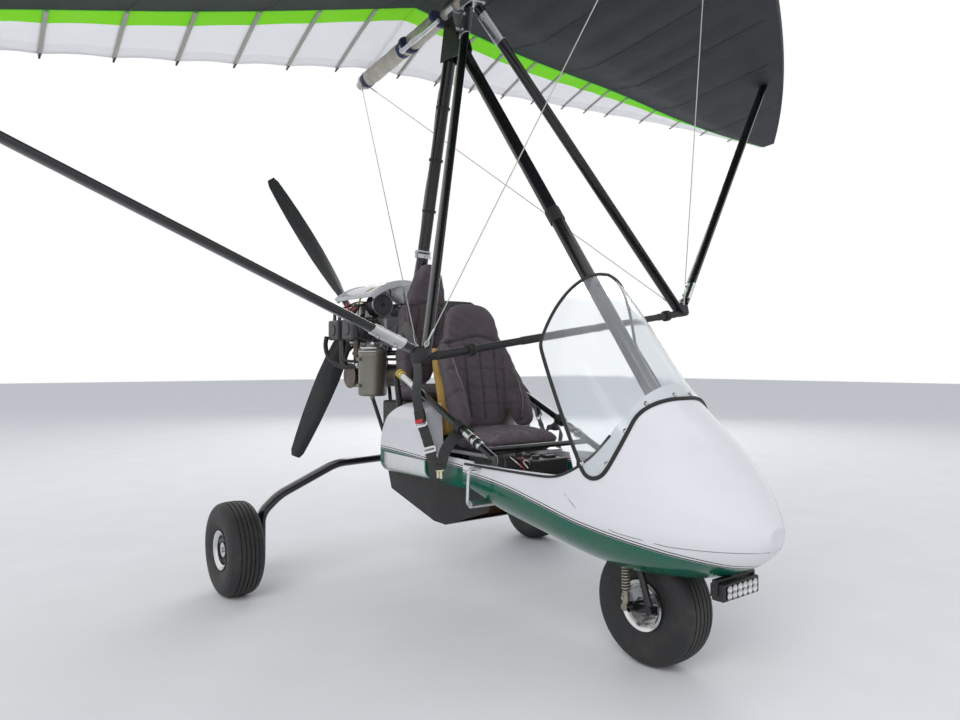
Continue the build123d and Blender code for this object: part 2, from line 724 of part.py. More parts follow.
def gear_nodes():
    """Main legs, axles, radiator scoop, steps and the lamp under the nose."""
    nodes = {}
    axles = []
    steps = []
    body = pod_body(0)
    for side, name in ((1, "left"), (-1, "right")):
        track = side * TRACK / 2
        foot = side * LEG_FOOT_Y
        root_z = BEAM_Z + LEG_ROOT_RISE
        points = [(0, side * BEAM_W / 2, root_z), (0, side * LEG_KNEE_Y, root_z - 12),
                  (0, side * (LEG_FOOT_Y - 85), root_z - 135), (0, foot, WHEEL_Z + 138),
                  (0, foot, WHEEL_Z - 22)]
        path = FilletPolyline(*points, radius=[260, 260, 90])
        start = Plane(origin=path @ 0, x_dir=(1, 0, 0), z_dir=path % 0)
        leg = sweep(start * Ellipse(LEG_LONG / 2, LEG_THIN / 2), path=path)
        nodes[f"gear_leg_{name}"] = trimmed(leg, block(0, 0, BEAM_Z, 400, BEAM_W, BEAM_H))
        inner = foot
        outer = track + side * (RIM_W / 2 - 6)
        axle = rod((0, inner, WHEEL_Z), (0, outer, WHEEL_Z), AXLE_D)
        washer = rod((0, inner, WHEEL_Z), (0, track - side * (RIM_W / 2 - 11), WHEEL_Z), 44)
        axles.append(trimmed(axle + washer, nodes[f"gear_leg_{name}"]))
        high, low = 632, 500
        out, across = 378, 225
        bar = bent_rod([(STEP_X, side * 300, high), (STEP_X, side * out, high),
                        (STEP_X, side * (out + 6), low), (STEP_X, side * across, low - 2)], 14, STEP_BAR_D)
        peg = rod((STEP_X, side * (out - 6), low), (STEP_X, side * (across + 20), low - 2), STEP_PEG_D)
        steps.append(trimmed(bar + peg, body))
    nodes["axles"] = axles
    nodes["steps"] = steps
    scoop = [(157, BEAM_TOP), (157, 515), (190, 428), (555, 332), (645, 330), (940, 432), (975, 515),
             (975, BEAM_TOP)]
    hollow = [(165, 620), (165, 517), (196, 434), (556, 338), (645, 336), (936, 437), (967, 517),
              (967, 620)]
    inner_half = SCOOP_HALF - SCOOP_WALL
    outer = extrude(side_plane(SCOOP_HALF) * make_face(Polyline(*scoop, close=True)),
                    amount=2 * SCOOP_HALF)
    inner = extrude(side_plane(inner_half) * make_face(Polyline(*hollow, close=True)),
                    amount=2 * inner_half)
    front_mouth = block(860, 0, 410, 400, 2 * inner_half, 130)
    nodes["belly_scoop"] = trimmed(outer - inner, body, front_mouth,
                                   block(400, 0, BEAM_Z, 1200, BEAM_W, BEAM_H))
    nodes["radiator"] = block(616, 0, 425, 40, 2 * inner_half, 174)
    nodes["lamp_bar"] = trimmed(lamp_body(), body)
    return nodes


def barrel_and_cover(x, side):
    """A finned cylinder lying to one side, with its valve cover and plug bosses."""
    z = ENGINE_Z + 8
    lie = Rot(90, 0, 0)
    barrel = Pos(x, side * 190, z) * lie * Cylinder(BARREL_D / 2, 150)
    for number in range(FIN_COUNT):
        barrel += Pos(x, side * (130 + FIN_PITCH * number), z) * lie * Cylinder(FIN_D / 2, 5)
    barrel += block(x, side * 268, z, 110, 40, 104, 10)
    barrel += Pos(x, side * 289, z) * lie * Cylinder(30, 8)
    for shift in (-28, 28):
        barrel += Pos(x + shift, side * 262, z + 56) * Cylinder(9, 34)
        barrel += rod((x + shift, side * 112, z - 58), (x + shift, side * 262, z - 40), 13)
    return barrel


def engine_case():
    """Crankcase with its ribs, the generator cover in front, the oil filter and two ignition boxes."""
    case = block(CASE_X, 0, ENGINE_Z, 340, 230, CASE_HEIGHT, 16)
    front = CASE_X + 170
    case += Pos(front + 16, 0, ENGINE_Z + 6) * Rot(0, 90, 0) * Cylinder(68, 34)
    case += Pos(front + 38, 0, ENGINE_Z + 6) * Rot(0, 90, 0) * Cylinder(34, 14)
    case += rod((front - 4, -86, ENGINE_Z - 44), (front + 82, -86, ENGINE_Z - 52), 76)
    for number in range(4):
        case += block(CASE_X - 105 + 70 * number, 0, ENGINE_Z + 5, 8, 236, CASE_HEIGHT + 2)
    for side in (1, -1):
        case += block(CASE_X - 20, side * 52, ENGINE_Z + CASE_HEIGHT / 2 + 24, 190, 62, 52, 5)
    return case


def carburettor(side):
    """Round filter, carburettor with its float bowl, and the two branches to the cylinders."""
    y = side * FILTER_Y
    turn = Rot(0, 90, 0)
    body = Pos(FILTER_X, y, FILTER_Z) * turn * Cylinder(FILTER_D / 2, 62)
    for face_x, grow in ((FILTER_X + 34, 3), (FILTER_X - 30, 3)):
        body += Pos(face_x, y, FILTER_Z) * turn * Cylinder(FILTER_D / 2 + grow, 9)
    body -= Pos(FILTER_X + 40, y, FILTER_Z) * turn * Cylinder(FILTER_D / 2 - 9, 8)
    body += Pos(FILTER_X + 34, y, FILTER_Z) * turn * Cylinder(12, 12)
    throat_x = FILTER_X - 72
    body += Pos(throat_x, y, FILTER_Z) * turn * Cylinder(27, 84)
    body += Pos(throat_x, y, FILTER_Z - 36) * Cylinder(29, 46)
    body += Pos(throat_x, y, FILTER_Z + 30) * Cylinder(22, 34)
    end = (throat_x - 40, y, FILTER_Z)
    for x in (FRONT_BARREL_X, REAR_BARREL_X):
        port = (x, side * 205, ENGINE_Z + 50)
        mid = ((end[0] + x) / 2 - 8, side * 168, FILTER_Z - 4)
        body += rod(end, mid, 34) + Pos(*mid) * Sphere(17) + rod(mid, port, 34)
    return body


def cowl():
    """Thin cowl over the engine: an arch across it, with a raised rib, open at both ends."""
    half = COWL_HALF
    top = COWL_TOP
    low = top - COWL_DROP
    t = COWL_T
    length = 390
    with BuildSketch(Plane(origin=(CASE_X - length / 2, 0, 0), x_dir=(0, 1, 0), z_dir=(1, 0, 0))) as arch:
        with BuildLine():
            ThreePointArc((-half, low), (0, top), (half, low))
            Line((half, low), (half - t, low))
            ThreePointArc((half - t, low), (0, top - t), (t - half, low))
            Line((t - half, low), (-half, low))
        make_face()
    shell = extrude(arch.sketch, amount=length)
    rib = block(CASE_X, 0, top - 4, length - 60, 60, 18, 6)
    return shell + rib


def engine_nodes():
    """Flat-four engine with its gearbox, cowl, carburettors, exhaust, oil tank and mount."""
    nodes = {}
    z = ENGINE_Z
    case = engine_case()
    nodes["engine_block"] = case
    barrels = []
    for x in (FRONT_BARREL_X, REAR_BARREL_X):
        for side in (1, -1):
            barrels.append(trimmed(barrel_and_cover(x, side), case))
    nodes["cylinders"] = barrels
    box = block(CASE_X - 220, 0, z + 50, 100, 190, 230, 18)
    nose = Pos(-490, 0, PROP_Z) * Rot(0, 90, 0) * Cylinder(58, 60)
    shaft = rod((-500, 0, PROP_Z), (PROP_X - 26, 0, PROP_Z), SHAFT_D)
    nodes["gearbox"] = box + nose + shaft
    nodes["air_box"] = cowl()
    carburettors = [trimmed(carburettor(side), case, *barrels) for side in (1, -1)]
    nodes["air_filters"] = carburettors
    for side in (1, -1):
        stay = rod((CASE_X + 60, side * 70, z + 120), (CASE_X + 60, side * 70, COWL_TOP - 14), 12)
        nodes["air_box"] += stay
    nodes["air_box"] = trimmed(nodes["air_box"], case, *carburettors)
    silencer_x, silencer_z = -225, 965
    can = Pos(silencer_x, 0, silencer_z) * Rot(90, 0, 0) * Cylinder(62, 420)
    for side in (1, -1):
        can += Pos(silencer_x, side * 206, silencer_z) * Rot(90, 0, 0) * Cylinder(66, 10)
    pipes = []
    for x in (FRONT_BARREL_X, REAR_BARREL_X):
        for side in (1, -1):
            pipes.append(bent_rod([(x, side * 230, z - 45), (x, side * 228, 1030),
                                   (x * 0.35 - 150, side * 150, silencer_z + 10)], 40, 34))
    can = joined([can] + pipes)
    tail = bent_rod([(silencer_x, 150, silencer_z), (silencer_x, 262, silencer_z),
                     (silencer_x - 75, 300, 900), (silencer_x - 145, 300, 880)], 30, 38)
    nodes["exhaust"] = trimmed(can + tail, *barrels)
    rails = []
    for side in (1, -1):
        rails.append(rod((mast_x(MOUNT_Z), side * 42, MOUNT_Z), (-400, side * 90, MOUNT_Z), 26))
        rails.append(rod((-360, side * 86, MOUNT_Z), (BEAM_REAR_X + 24, side * 22, BEAM_TOP + 12), 22))
    collar = pipe((mast_x(MOUNT_Z - 30), 0, MOUNT_Z - 30), (mast_x(MOUNT_Z + 30), 0, MOUNT_Z + 30),
                  MAST_D + 2 * COLLAR, COLLAR)
    gap = ENGINE_ABOVE_MOUNT - CASE_HEIGHT / 2
    rubbers = [Pos(x, side * 78, MOUNT_Z + gap / 2) * Cylinder(16, gap)
               for x in (-90, -300) for side in (1, -1)]
    core = rod((mast_x(800), 0, 800), (mast_x(1300), 0, 1300), MAST_D)
    nodes["engine_mount"] = trimmed(joined([collar] + rails + rubbers), core)
    nodes["oil_tank"] = trimmed(oil_tank(), core, nodes["engine_mount"])
    return nodes


def oil_tank():
    """Dry sump tank: a can with rolled ends, its cap, unions and two clamps on arms to the mast."""
    middle = 985
    tank = fillet((Pos(OIL_X, -OIL_Y, middle) * Cylinder(OIL_D / 2, OIL_H)).edges(), 14)
    top = middle + OIL_H / 2
    tank += Pos(OIL_X, -OIL_Y, top - 22) * Cylinder(OIL_D / 2 + 3, 12)
    tank += Pos(OIL_X, -OIL_Y, top + 8) * Cylinder(30, 26)
    tank += rod((OIL_X - 50, -OIL_Y - 10, top - 4), (OIL_X - 96, -OIL_Y - 22, top - 4), 20)
    tank += rod((OIL_X + 38, -OIL_Y + 30, top - 6), (OIL_X + 38, -OIL_Y + 30, top + 22), 18)
    tank += Pos(OIL_X, -OIL_Y, middle - OIL_H / 2 - 6) * Cylinder(12, 20)
    arms = []
    for level in (middle - 65, middle + 65):
        tank += Pos(OIL_X, -OIL_Y, level) * Cylinder(OIL_D / 2 + 3, 16)
        tank += block(OIL_X, -OIL_Y - OIL_D / 2 - 6, level, 30, 14, 16)
        arms.append(rod((mast_x(level) + 4, -MAST_D / 2 + 1, level), (OIL_X, -OIL_Y + 60, level), 14))
    return joined([tank] + arms)


def blade_section(radius, chord, thick, angle):
    """Section of a blade: a fuller arc forward, a flatter one behind, turned by its pitch."""
    plane = Plane(origin=(0, 0, radius), x_dir=(0, 1, 0), z_dir=(0, 0, 1))
    with BuildSketch() as outline:
        with BuildLine():
            ThreePointArc((chord / 2, 0), (0, 0.7 * thick), (-chord / 2, 0))
            ThreePointArc((-chord / 2, 0), (0, -0.3 * thick), (chord / 2, 0))
        make_face()
    return plane * (Rot(0, 0, angle) * outline.sketch)


def propeller_nodes():
    """Hub of two plates and a boss, and three twisted blades."""
    place = Pos(PROP_X, 0, PROP_Z)
    hub = Rot(0, 90, 0) * (Cylinder(HUB_PLATE_D / 2, 48) + Cylinder(30, 64))
    hub -= Rot(0, 90, 0) * Cylinder(SHAFT_D / 2 + AXLE_CLEARANCE, 100)
    nodes = {"propeller_hub": [place * hub]}
    # columns: radius, chord, thickness, pitch angle from the disc (degrees)
    stations = [(BLADE_ROOT, 40, 36, 33), (110, 70, 30, 33), (200, 108, 21, 31), (300, 122, 17, 27.5),
                (400, 128, 14, 24), (525, 122, 12, 20), (650, 110, 10, 17), (760, 92, 8, 14.5),
                (PROP_R - 30, 74, 6, 13), (PROP_R, 46, 5, 12)]
    blades = []
    for number in range(BLADE_COUNT):
        turn = Rot(PROP_FIRST_ANGLE + number * 360 / BLADE_COUNT, 0, 0)
        blade = loft([blade_section(*row) for row in stations], ruled=True)
        blades.append(place * turn * blade)
    nodes["propeller_blades"] = blades
    hub_shape = nodes["propeller_hub"][0]
    for blade in blades:
        hub_shape = hub_shape - blade
    nodes["propeller_hub"] = [hub_shape]
    return nodes


def steering_nodes():
    """Fork, trailing links with their spring units, and the foot bar: all turn together."""
    nodes = {}
    crown_z = CROWN_Z
    crown_x = steer_x(crown_z)
    crown = block(crown_x, 0, crown_z, 74, 2 * FORK_HALF + 30, CROWN_T, 6)
    low_steerer = STEER * Pos(0, 0, -HEAD_LENGTH / 2 - 20) * Cylinder(STEERER_D / 2 + 8, 38)
    steerer = STEER * Pos(0, 0, 10) * Cylinder(STEERER_D / 2, HEAD_LENGTH + 90)
    fork = crown + steerer + low_steerer
    for side in (1, -1):
        y = side * FORK_HALF
        pivot = (WHEEL_BASE + LINK_PIVOT_X, y, LINK_PIVOT_Z)
        fork += rod((crown_x + 6, y, crown_z), pivot, FORK_TUBE_D)
        fork += Pos(*pivot) * Rot(90, 0, 0) * Cylinder(15, FORK_TUBE_D)
    nodes["fork"] = fork
    links = []
    for side in (1, -1):
        y = side * (FORK_HALF - FORK_TUBE_D / 2 - LINK_T / 2)
        outline = [(WHEEL_BASE + LINK_PIVOT_X + 16, LINK_PIVOT_Z + 14),
                   (WHEEL_BASE + LINK_TAIL_X - 10, LINK_TAIL_Z + 18),
                   (WHEEL_BASE + LINK_TAIL_X - 10, LINK_TAIL_Z - 14),
                   (WHEEL_BASE + LINK_PIVOT_X + 16, LINK_PIVOT_Z - 16)]
        links.append(extrude(side_plane(y + LINK_T / 2) * make_face(Polyline(*outline, close=True)),
                             amount=LINK_T))
    axle = rod((WHEEL_BASE, -FORK_HALF + 8, WHEEL_Z), (WHEEL_BASE, FORK_HALF - 8, WHEEL_Z), AXLE_D)
    spacers = [rod((WHEEL_BASE, side * (RIM_W / 2 - 11), WHEEL_Z),
                   (WHEEL_BASE, side * (FORK_HALF - FORK_TUBE_D / 2 - 8), WHEEL_Z), 40)
               for side in (1, -1)]
    ends = rod((WHEEL_BASE, -AXLE_END_Y, WHEEL_Z), (WHEEL_BASE, AXLE_END_Y, WHEEL_Z), AXLE_END_D)
    tow_bore = Pos(WHEEL_BASE, 0, WHEEL_Z) * Rot(90, 0, 0) * Cylinder(TOW_BORE_D / 2, 3 * AXLE_END_Y)
    nodes["links"] = joined([links[0], axle, links[1], ends] + spacers) - tow_bore
    springs = []
    for side in (1, -1):
        x = WHEEL_BASE - SPRING_BEHIND_AXLE
        y = side * SPRING_Y
        low = LINK_TAIL_Z + 8
        high = crown_z - CROWN_T / 2
        body = Pos(x, y, (low + high) / 2) * Cylinder(DAMPER_D / 2, high - low)
        first = low + 37
        pitch = (high - 11 - first) / SPRING_TURNS
        for number in range(SPRING_TURNS):
            ring = Torus(SPRING_D / 2 - SPRING_WIRE / 2, SPRING_WIRE / 2)
            body += Pos(x, y, first + pitch * (number + 0.5)) * ring
        for level in (first - 4, high - 8):
            body += Pos(x, y, level) * Cylinder(SPRING_D / 2, 6)
        eye = Pos(x, y, low) * Rot(90, 0, 0) * Cylinder(13, 22)
        springs.append(body + eye)
    nodes["spring_units"] = springs
    bar_z = HEAD_LENGTH / 2 + 42
    bar = STEER * Pos(0, 0, bar_z) * Rot(90, 0, 0) * Cylinder(11, 400)
    sleeve = STEER * Pos(0, 0, bar_z - 12) * Cylinder(22, 50)
    pegs = [STEER * Pos(0, side * 150, bar_z) * Rot(90, 0, 0) * Cylinder(17, 80)
            for side in (1, -1)]
    nodes["foot_bar"] = (bar + sleeve + pegs[0] + pegs[1]) - steerer
    return nodes


def cockpit_nodes():
    """Instrument board behind the screen and the switch box beside the front seat."""
    nodes = {}
    board = egg(BOARD_X, 640, 660, 880, 252, 0)
    board = extrude(board, amount=8)
    board -= Pos(BOARD_X, 0, 560) * Box(80, 700, 200)
    slot = rod((FRONT_STRUT_FOOT_X, 0, BEAM_TOP), (STRUT_TOP_X, 0, STRUT_TOP_Z), STRUT_D + 16)
    board -= slot
    for x, y in ((0, 110), (0, -110)):
        board += Pos(BOARD_X - 8, y, 745) * Rot(0, 90, 0) * Cylinder(40, 24)
    nodes["instrument_board"] = board
    box = block(FRONT_CUSHION_X + 340, -95, BEAM_TOP + 45, 170, 180, 90, 6)
    for number in range(3):
        x = FRONT_CUSHION_X + 285 + 50 * number
        box += Pos(x, -140, BEAM_TOP + 95) * Cylinder(14, 16)
        box += block(x, -70, BEAM_TOP + 94, 30, 50, 14, 3)
    nodes["switch_box"] = box
    return nodes


def hang_nodes():
    """Block that hangs the wing's keel on the mast head's bolt."""
    ring = pipe((-28, 0, 0), (28, 0, 0), KEEL_D + 24, 12 - RING_GAP)
    outer = Rot(90, 0, 0) * Cylinder(22, HANG_BLOCK_W)
    tongue = Pos(0, 0, KEEL_ABOVE_BOLT / 2 - 9) * Box(44, HANG_BLOCK_W, KEEL_ABOVE_BOLT - 43)
    block_shape = outer + tongue
    block_shape = block_shape - Rot(90, 0, 0) * Cylinder(HANG_BOLT_D / 2 + AXLE_CLEARANCE, 100)
    place = Pos(HANG_X, 0, HANG_Z) * Rot(0, -KEEL_PITCH, 0)
    return {"hang_block": place * (block_shape + Pos(0, 0, KEEL_ABOVE_BOLT) * ring)}


def main():
    for group in (frame_nodes, seat_nodes, gear_nodes, engine_nodes, propeller_nodes,
                  steering_nodes, cockpit_nodes, hang_nodes, pod_nodes, wing_nodes):
        for name, shapes in group().items():
            save(name, shapes)
    for name, x, y in (("nose", WHEEL_BASE, 0), ("left", 0, TRACK / 2), ("right", 0, -TRACK / 2)):
        tyre_body, rim_body = wheel_at(x, y)
        save(f"{name}_tyre", tyre_body)
        save(f"{name}_rim", rim_body)


main()
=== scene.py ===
# %% [markdown]
# # A two-seat flex-wing microlight, dressed for its portrait
#
# The solids come packed from the CAD model as a fixed frame. Nothing here moves them: a lesson
# cell either gives a solid its finish, or lays a finer skin over it and lets the solid rest.
# Units are metres. X points forward, Y to port (the pilot's left) and Z up, with the ground at 0.

import math

import bmesh
import bpy
import numpy as np
from mathutils import Matrix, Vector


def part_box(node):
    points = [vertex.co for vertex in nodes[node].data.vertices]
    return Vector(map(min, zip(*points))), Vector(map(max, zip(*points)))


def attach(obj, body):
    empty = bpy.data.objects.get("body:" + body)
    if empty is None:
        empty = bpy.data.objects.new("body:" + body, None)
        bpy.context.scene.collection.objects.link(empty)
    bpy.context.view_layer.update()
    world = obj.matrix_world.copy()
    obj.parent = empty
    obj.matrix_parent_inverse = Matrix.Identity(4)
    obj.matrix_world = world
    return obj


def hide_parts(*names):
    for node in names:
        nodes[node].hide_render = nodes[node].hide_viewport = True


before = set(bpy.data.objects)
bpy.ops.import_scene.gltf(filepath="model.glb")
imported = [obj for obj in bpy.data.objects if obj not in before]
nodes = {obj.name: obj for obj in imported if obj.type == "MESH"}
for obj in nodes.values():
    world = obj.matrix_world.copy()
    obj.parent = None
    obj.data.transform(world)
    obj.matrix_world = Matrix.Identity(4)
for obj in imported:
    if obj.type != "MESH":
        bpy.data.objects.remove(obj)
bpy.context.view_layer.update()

# %% [markdown]
# Measurements on an aircraft are taken from one datum. Here it is the main axle, because the
# photograph was measured from it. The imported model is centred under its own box, so one shift
# carries a measured place into the model, and every later cell writes the measured place.

# %% The datum
corners = [np.array(corner) for rim in ("left_rim", "right_rim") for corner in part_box(rim)]
datum = sum(corners) / len(corners)
datum[2] = 0.0


def placed(points):
    """Points measured from the main axle, centre line and ground, moved by the datum."""
    return np.asarray(points, float) + datum


print("datum:", datum.round(4))

# %% [markdown]
# The camera stands where the photographer stood: its place and aim were solved from the three
# wheels, whose size and spacing are known, so no guess is left in it. The lens follows from the
# focal length in pixels, because a picture 960 wide is what the sensor's 36 mm becomes.

# %% Camera
IMAGE_WIDTH = 960
SENSOR_WIDTH = 36.0
FOCAL_PIXELS = 729.547
EYE = (3.2409, -2.0199, 1.0316)
HEADING, TILT, ROLL = np.radians([142.2841, 0.2419, 0.0666])


def show(name, data):
    """A new object in the scene."""
    made = bpy.data.objects.new(name, data)
    bpy.context.scene.collection.objects.link(made)
    return made


def stand(name, data, place, right, up, ahead):
    """A camera or a lamp at place: its X is right, its Y is up, and its -Z looks ahead."""
    turned = np.eye(4)
    turned[:3, 0], turned[:3, 1], turned[:3, 2], turned[:3, 3] = right, up, -ahead, placed(place)
    made = show(name, data)
    made.matrix_world = Matrix(turned)
    return made


look = np.array([np.cos(HEADING) * np.cos(TILT), np.sin(HEADING) * np.cos(TILT), np.sin(TILT)])
level_right = np.array([np.sin(HEADING), -np.cos(HEADING), 0.0])
level_up = np.cross(level_right, look)
right = level_right * np.cos(ROLL) + level_up * np.sin(ROLL)
up = level_up * np.cos(ROLL) - level_right * np.sin(ROLL)
camera_data = bpy.data.cameras.new("camera")
camera_data.sensor_width = SENSOR_WIDTH
camera_data.lens = FOCAL_PIXELS / IMAGE_WIDTH * SENSOR_WIDTH
camera_data.clip_start, camera_data.clip_end = 0.05, 200.0
bpy.context.scene.camera = stand("camera", camera_data, EYE, right, up, look)
print("lens:", round(camera_data.lens, 2), "mm")

# %% [markdown]
# Every new piece below is a grid of points worked out with arrays: rows along the piece, and
# columns round or across it. A closed tube, a strap, a batten or a sail are all such a grid. What
# turns a grid into a mesh is always the same list of four-cornered faces, so it is written once.

# %% Grids and their faces
def quads(rows, columns, round_columns=False):
    """Corner numbers of a grid's faces: each point with its right, diagonal and lower neighbour."""
    row = np.arange(rows - 1)[:, None]
    column = np.arange(columns if round_columns else columns - 1)[None, :]
    beside = (column + 1) % columns
    corners = np.broadcast_arrays(row * columns + column, row * columns + beside,
                                  (row + 1) * columns + beside, (row + 1) * columns + column)
    return np.stack([corner.ravel() for corner in corners], 1)


def sheet_shape(grid):
    """An open grid (rows, columns, 3) as points and faces."""
    return grid.reshape(-1, 3), quads(*grid.shape[:2])


def tube_shape(grid):
    """Rows that are closed rings of an even count, with a strip of faces across each end."""
    rows, columns = grid.shape[:2]
    step = np.arange(columns // 2 - 1)
    start = np.stack([step, step + 1, columns - 2 - step, columns - 1 - step], 1)
    end = start[:, ::-1] + (rows - 1) * columns
    return grid.reshape(-1, 3), np.vstack([quads(rows, columns, True), start[:, ::-1], end])


def put_together(shapes):
    """Several shapes as one list of points and one of faces."""
    counts = np.cumsum([0] + [len(points) for points, _ in shapes[:-1]])
    faces = [face + count for (_, face), count in zip(shapes, counts)]
    return np.vstack([points for points, _ in shapes]), np.vstack(faces)


def make_mesh(name, shape):
    """A mesh from points and faces, its faces turned outwards."""
    points, faces = shape
    mesh = bpy.data.meshes.new(name)
    mesh.from_pydata(points.tolist(), [], faces.tolist())
    work = bmesh.new()
    work.from_mesh(mesh)
    bmesh.ops.recalc_face_normals(work, faces=work.faces)
    work.to_mesh(mesh)
    work.free()
    return mesh


looks = {}


def make_piece(name, shapes, body, wears, kinds=None, smooth=40.0):
    """One piece on a body: its shapes, its looks by name, and for each face the number of its look."""
    mesh = make_mesh(name, put_together(shapes))
    for key in wears.split():
        mesh.materials.append(looks[key])
    if kinds is not None:
        mesh.polygons.foreach_set("material_index", np.asarray(kinds, np.int32))
    mesh.shade_smooth()
    mesh.set_sharp_from_angle(angle=math.radians(smooth))
    piece = show(name, mesh)
    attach(piece, body)
    print(name, len(mesh.polygons), "faces")
    return piece


def thicken(piece, thickness):
    """Give an open sheet its thickness, half on each side."""
    shell = piece.modifiers.new("thickness", "SOLIDIFY")
    shell.thickness, shell.offset = thickness, 0.0


# %% [markdown]
# Hoses, straps, piping and battens are all one idea: an outline carried along a path. At each
# point of the path the outline needs a sideways and an upright direction. Two cross products with
# a fixed "up" give both, for every point at once, and never twist on paths that avoid that up.

# %% Outlines carried along paths
def unit(vectors):
    """The same directions at length 1."""
    vectors = np.asarray(vectors, float)
    return vectors / np.linalg.norm(vectors, axis=-1, keepdims=True)


def smooth_path(points, per_run=10):
    """A curve through points: on each run the cubic whose end slopes are half the step between
    the neighbours on both sides."""
    p = np.asarray(points, float)
    wide = np.vstack([2 * p[0] - p[1], p, 2 * p[-1] - p[-2]])
    a, b, c, d = [wide[k:len(p) - 1 + k][:, None] for k in range(4)]
    t = np.linspace(0, 1, per_run, endpoint=False)[None, :, None]
    runs = (b + t * (c - a) / 2 + t ** 2 * (a - 2.5 * b + 2 * c - 0.5 * d)
            + t ** 3 * (-a / 2 + 1.5 * b - 1.5 * c + d / 2))
    return np.vstack([runs.reshape(-1, 3), p[-1:]])


def straight(start, end, count):
    """Evenly spaced points from start to end."""
    t = np.linspace(0, 1, count)[:, None]
    return np.asarray(start, float) * (1 - t) + np.asarray(end, float) * t


def arc(start, middle, end, count):
    """Points of the circle through three points in side view (x, z), from start to end."""
    a, b, c = [complex(*p) for p in (start, middle, end)]
    w = (c - a) / (b - a)
    centre = a + (b - a) * (w - abs(w) ** 2) / (2j * w.imag)
    radius = abs(a - centre)
    first, second = np.angle(a - centre), np.angle(c - centre)
    way = np.sign(np.imag(np.conj(a - centre) * (b - centre)))
    sweep_angle = (way * (second - first)) % (2 * np.pi)
    angle = first + way * sweep_angle * np.linspace(0, 1, count)
    points = centre + radius * np.exp(1j * angle)
    return np.stack([points.real, points.imag], 1)


def even(path, step):
    """The same line with its points a step apart: lengths added up, then read back evenly."""
    length = np.concatenate([[0], np.cumsum(np.linalg.norm(np.diff(path, axis=0), axis=1))])
    wanted = np.linspace(0, length[-1], max(3, int(length[-1] / step)))
    return np.stack([np.interp(wanted, length, path[:, k]) for k in range(3)], 1)


def loosened(path, times=3):
    """The line with its corners eased: each point moves to the mean of its neighbours and itself."""
    for _ in range(times):
        path = np.vstack([path[:1], (path[:-2] + 2 * path[1:-1] + path[2:]) / 4, path[-1:]])
    return path


def ring(width, height=None, count=12, power=2.0):
    """A closed outline: an ellipse, squarer as the power goes above 2."""
    angle = np.linspace(0, 2 * np.pi, count, endpoint=False) + np.pi / count
    c, s = np.cos(angle), np.sin(angle)
    height = width if height is None else height
    return np.stack([width / 2 * np.sign(c) * np.abs(c) ** (2 / power),
                     height / 2 * np.sign(s) * np.abs(s) ** (2 / power)], 1)


def carried(path, outline, up=(0, 0, 1), grow=1.0):
    """A tube: at each point of the path the outline, as point + grow * (sideways * side + upright *
    upright direction), where side is ahead x up and the upright direction is side x ahead."""
    ahead = unit(np.gradient(path, axis=0))
    side = np.cross(ahead, np.asarray(up, float))
    if np.linalg.norm(side, axis=1).min() < 1e-6:
        side = np.cross(ahead, (1.0, 0.0, 0.0))
    side = unit(side)
    upright = np.cross(side, ahead)
    size = np.broadcast_to(np.asarray(grow, float), (len(path),))[:, None, None]
    return tube_shape(path[:, None] + size * (outline[None, :, :1] * side[:, None]
                                              + outline[None, :, 1:] * upright[:, None]))


def hose(points, diameter, count=12):
    """A round tube along a smooth path of measured places."""
    return carried(smooth_path(placed(points)), ring(diameter, count=count))


def sleeve(start, end, diameter, height=None, up=(0, 0, 1), edge=0.0015, count=24, power=2.0):
    """A straight tube or collar between two places already in the model, its ends chamfered."""
    start, end = np.asarray(start, float), np.asarray(end, float)
    share = min(edge / np.linalg.norm(end - start), 0.4)
    t = np.array([0, share, 1 - share, 1])[:, None]
    height = diameter if height is None else height
    grow = np.array([1 - 2 * edge / height, 1, 1, 1 - 2 * edge / height])
    return carried(start * (1 - t) + end * t, ring(diameter, height, count, power), up, grow)


def lathe(profile, centre, axis, count=20):
    """A profile (radius, distance along the axis) turned about an axis through centre."""
    axis = unit(axis)
    helper = np.array([0, 0, 1.0]) if abs(axis[2]) < 0.9 else np.array([1.0, 0, 0])
    side = unit(np.cross(axis, helper))
    angle = np.linspace(0, 2 * np.pi, count, endpoint=False)
    spoke = np.cos(angle)[:, None] * side + np.sin(angle)[:, None] * np.cross(axis, side)
    profile = np.asarray(profile, float)
    return tube_shape(np.asarray(centre, float) + profile[:, 1, None, None] * axis
                      + profile[:, 0, None, None] * spoke[None])


def repeated(shape, places):
    """One shape set down at many places, as a single shape."""
    points, faces = shape
    places = np.asarray(places, float)
    numbers = (np.arange(len(places)) * len(points))[:, None, None] + faces[None]
    return (places[:, None] + points[None]).reshape(-1, 3), numbers.reshape(-1, 4)


# %% [markdown]
# Trims, straps and labels lie on the shell, so they must find it. Each of their points is let
# fall along a line until it meets a triangle of the solid. The line and the triangle's plane meet
# where three unknowns agree, and arrays solve that for every point and triangle in one go.

# %% Points that fall on a solid
BESIDE = 0.6


def points_of(mesh):
    """A mesh's points as an array."""
    flat = np.empty(3 * len(mesh.vertices))
    mesh.vertices.foreach_get("co", flat)
    return flat.reshape(-1, 3)


def mesh_triangles(mesh):
    """The triangles of a mesh, as (triangle, corner, xyz)."""
    mesh.calc_loop_triangles()
    corners = np.empty(3 * len(mesh.loop_triangles), np.int32)
    mesh.loop_triangles.foreach_get("vertices", corners)
    return points_of(mesh)[corners.reshape(-1, 3)]


def triangles_of(*names):
    """The triangles of CAD solids."""
    return np.concatenate([mesh_triangles(nodes[name].data) for name in names])


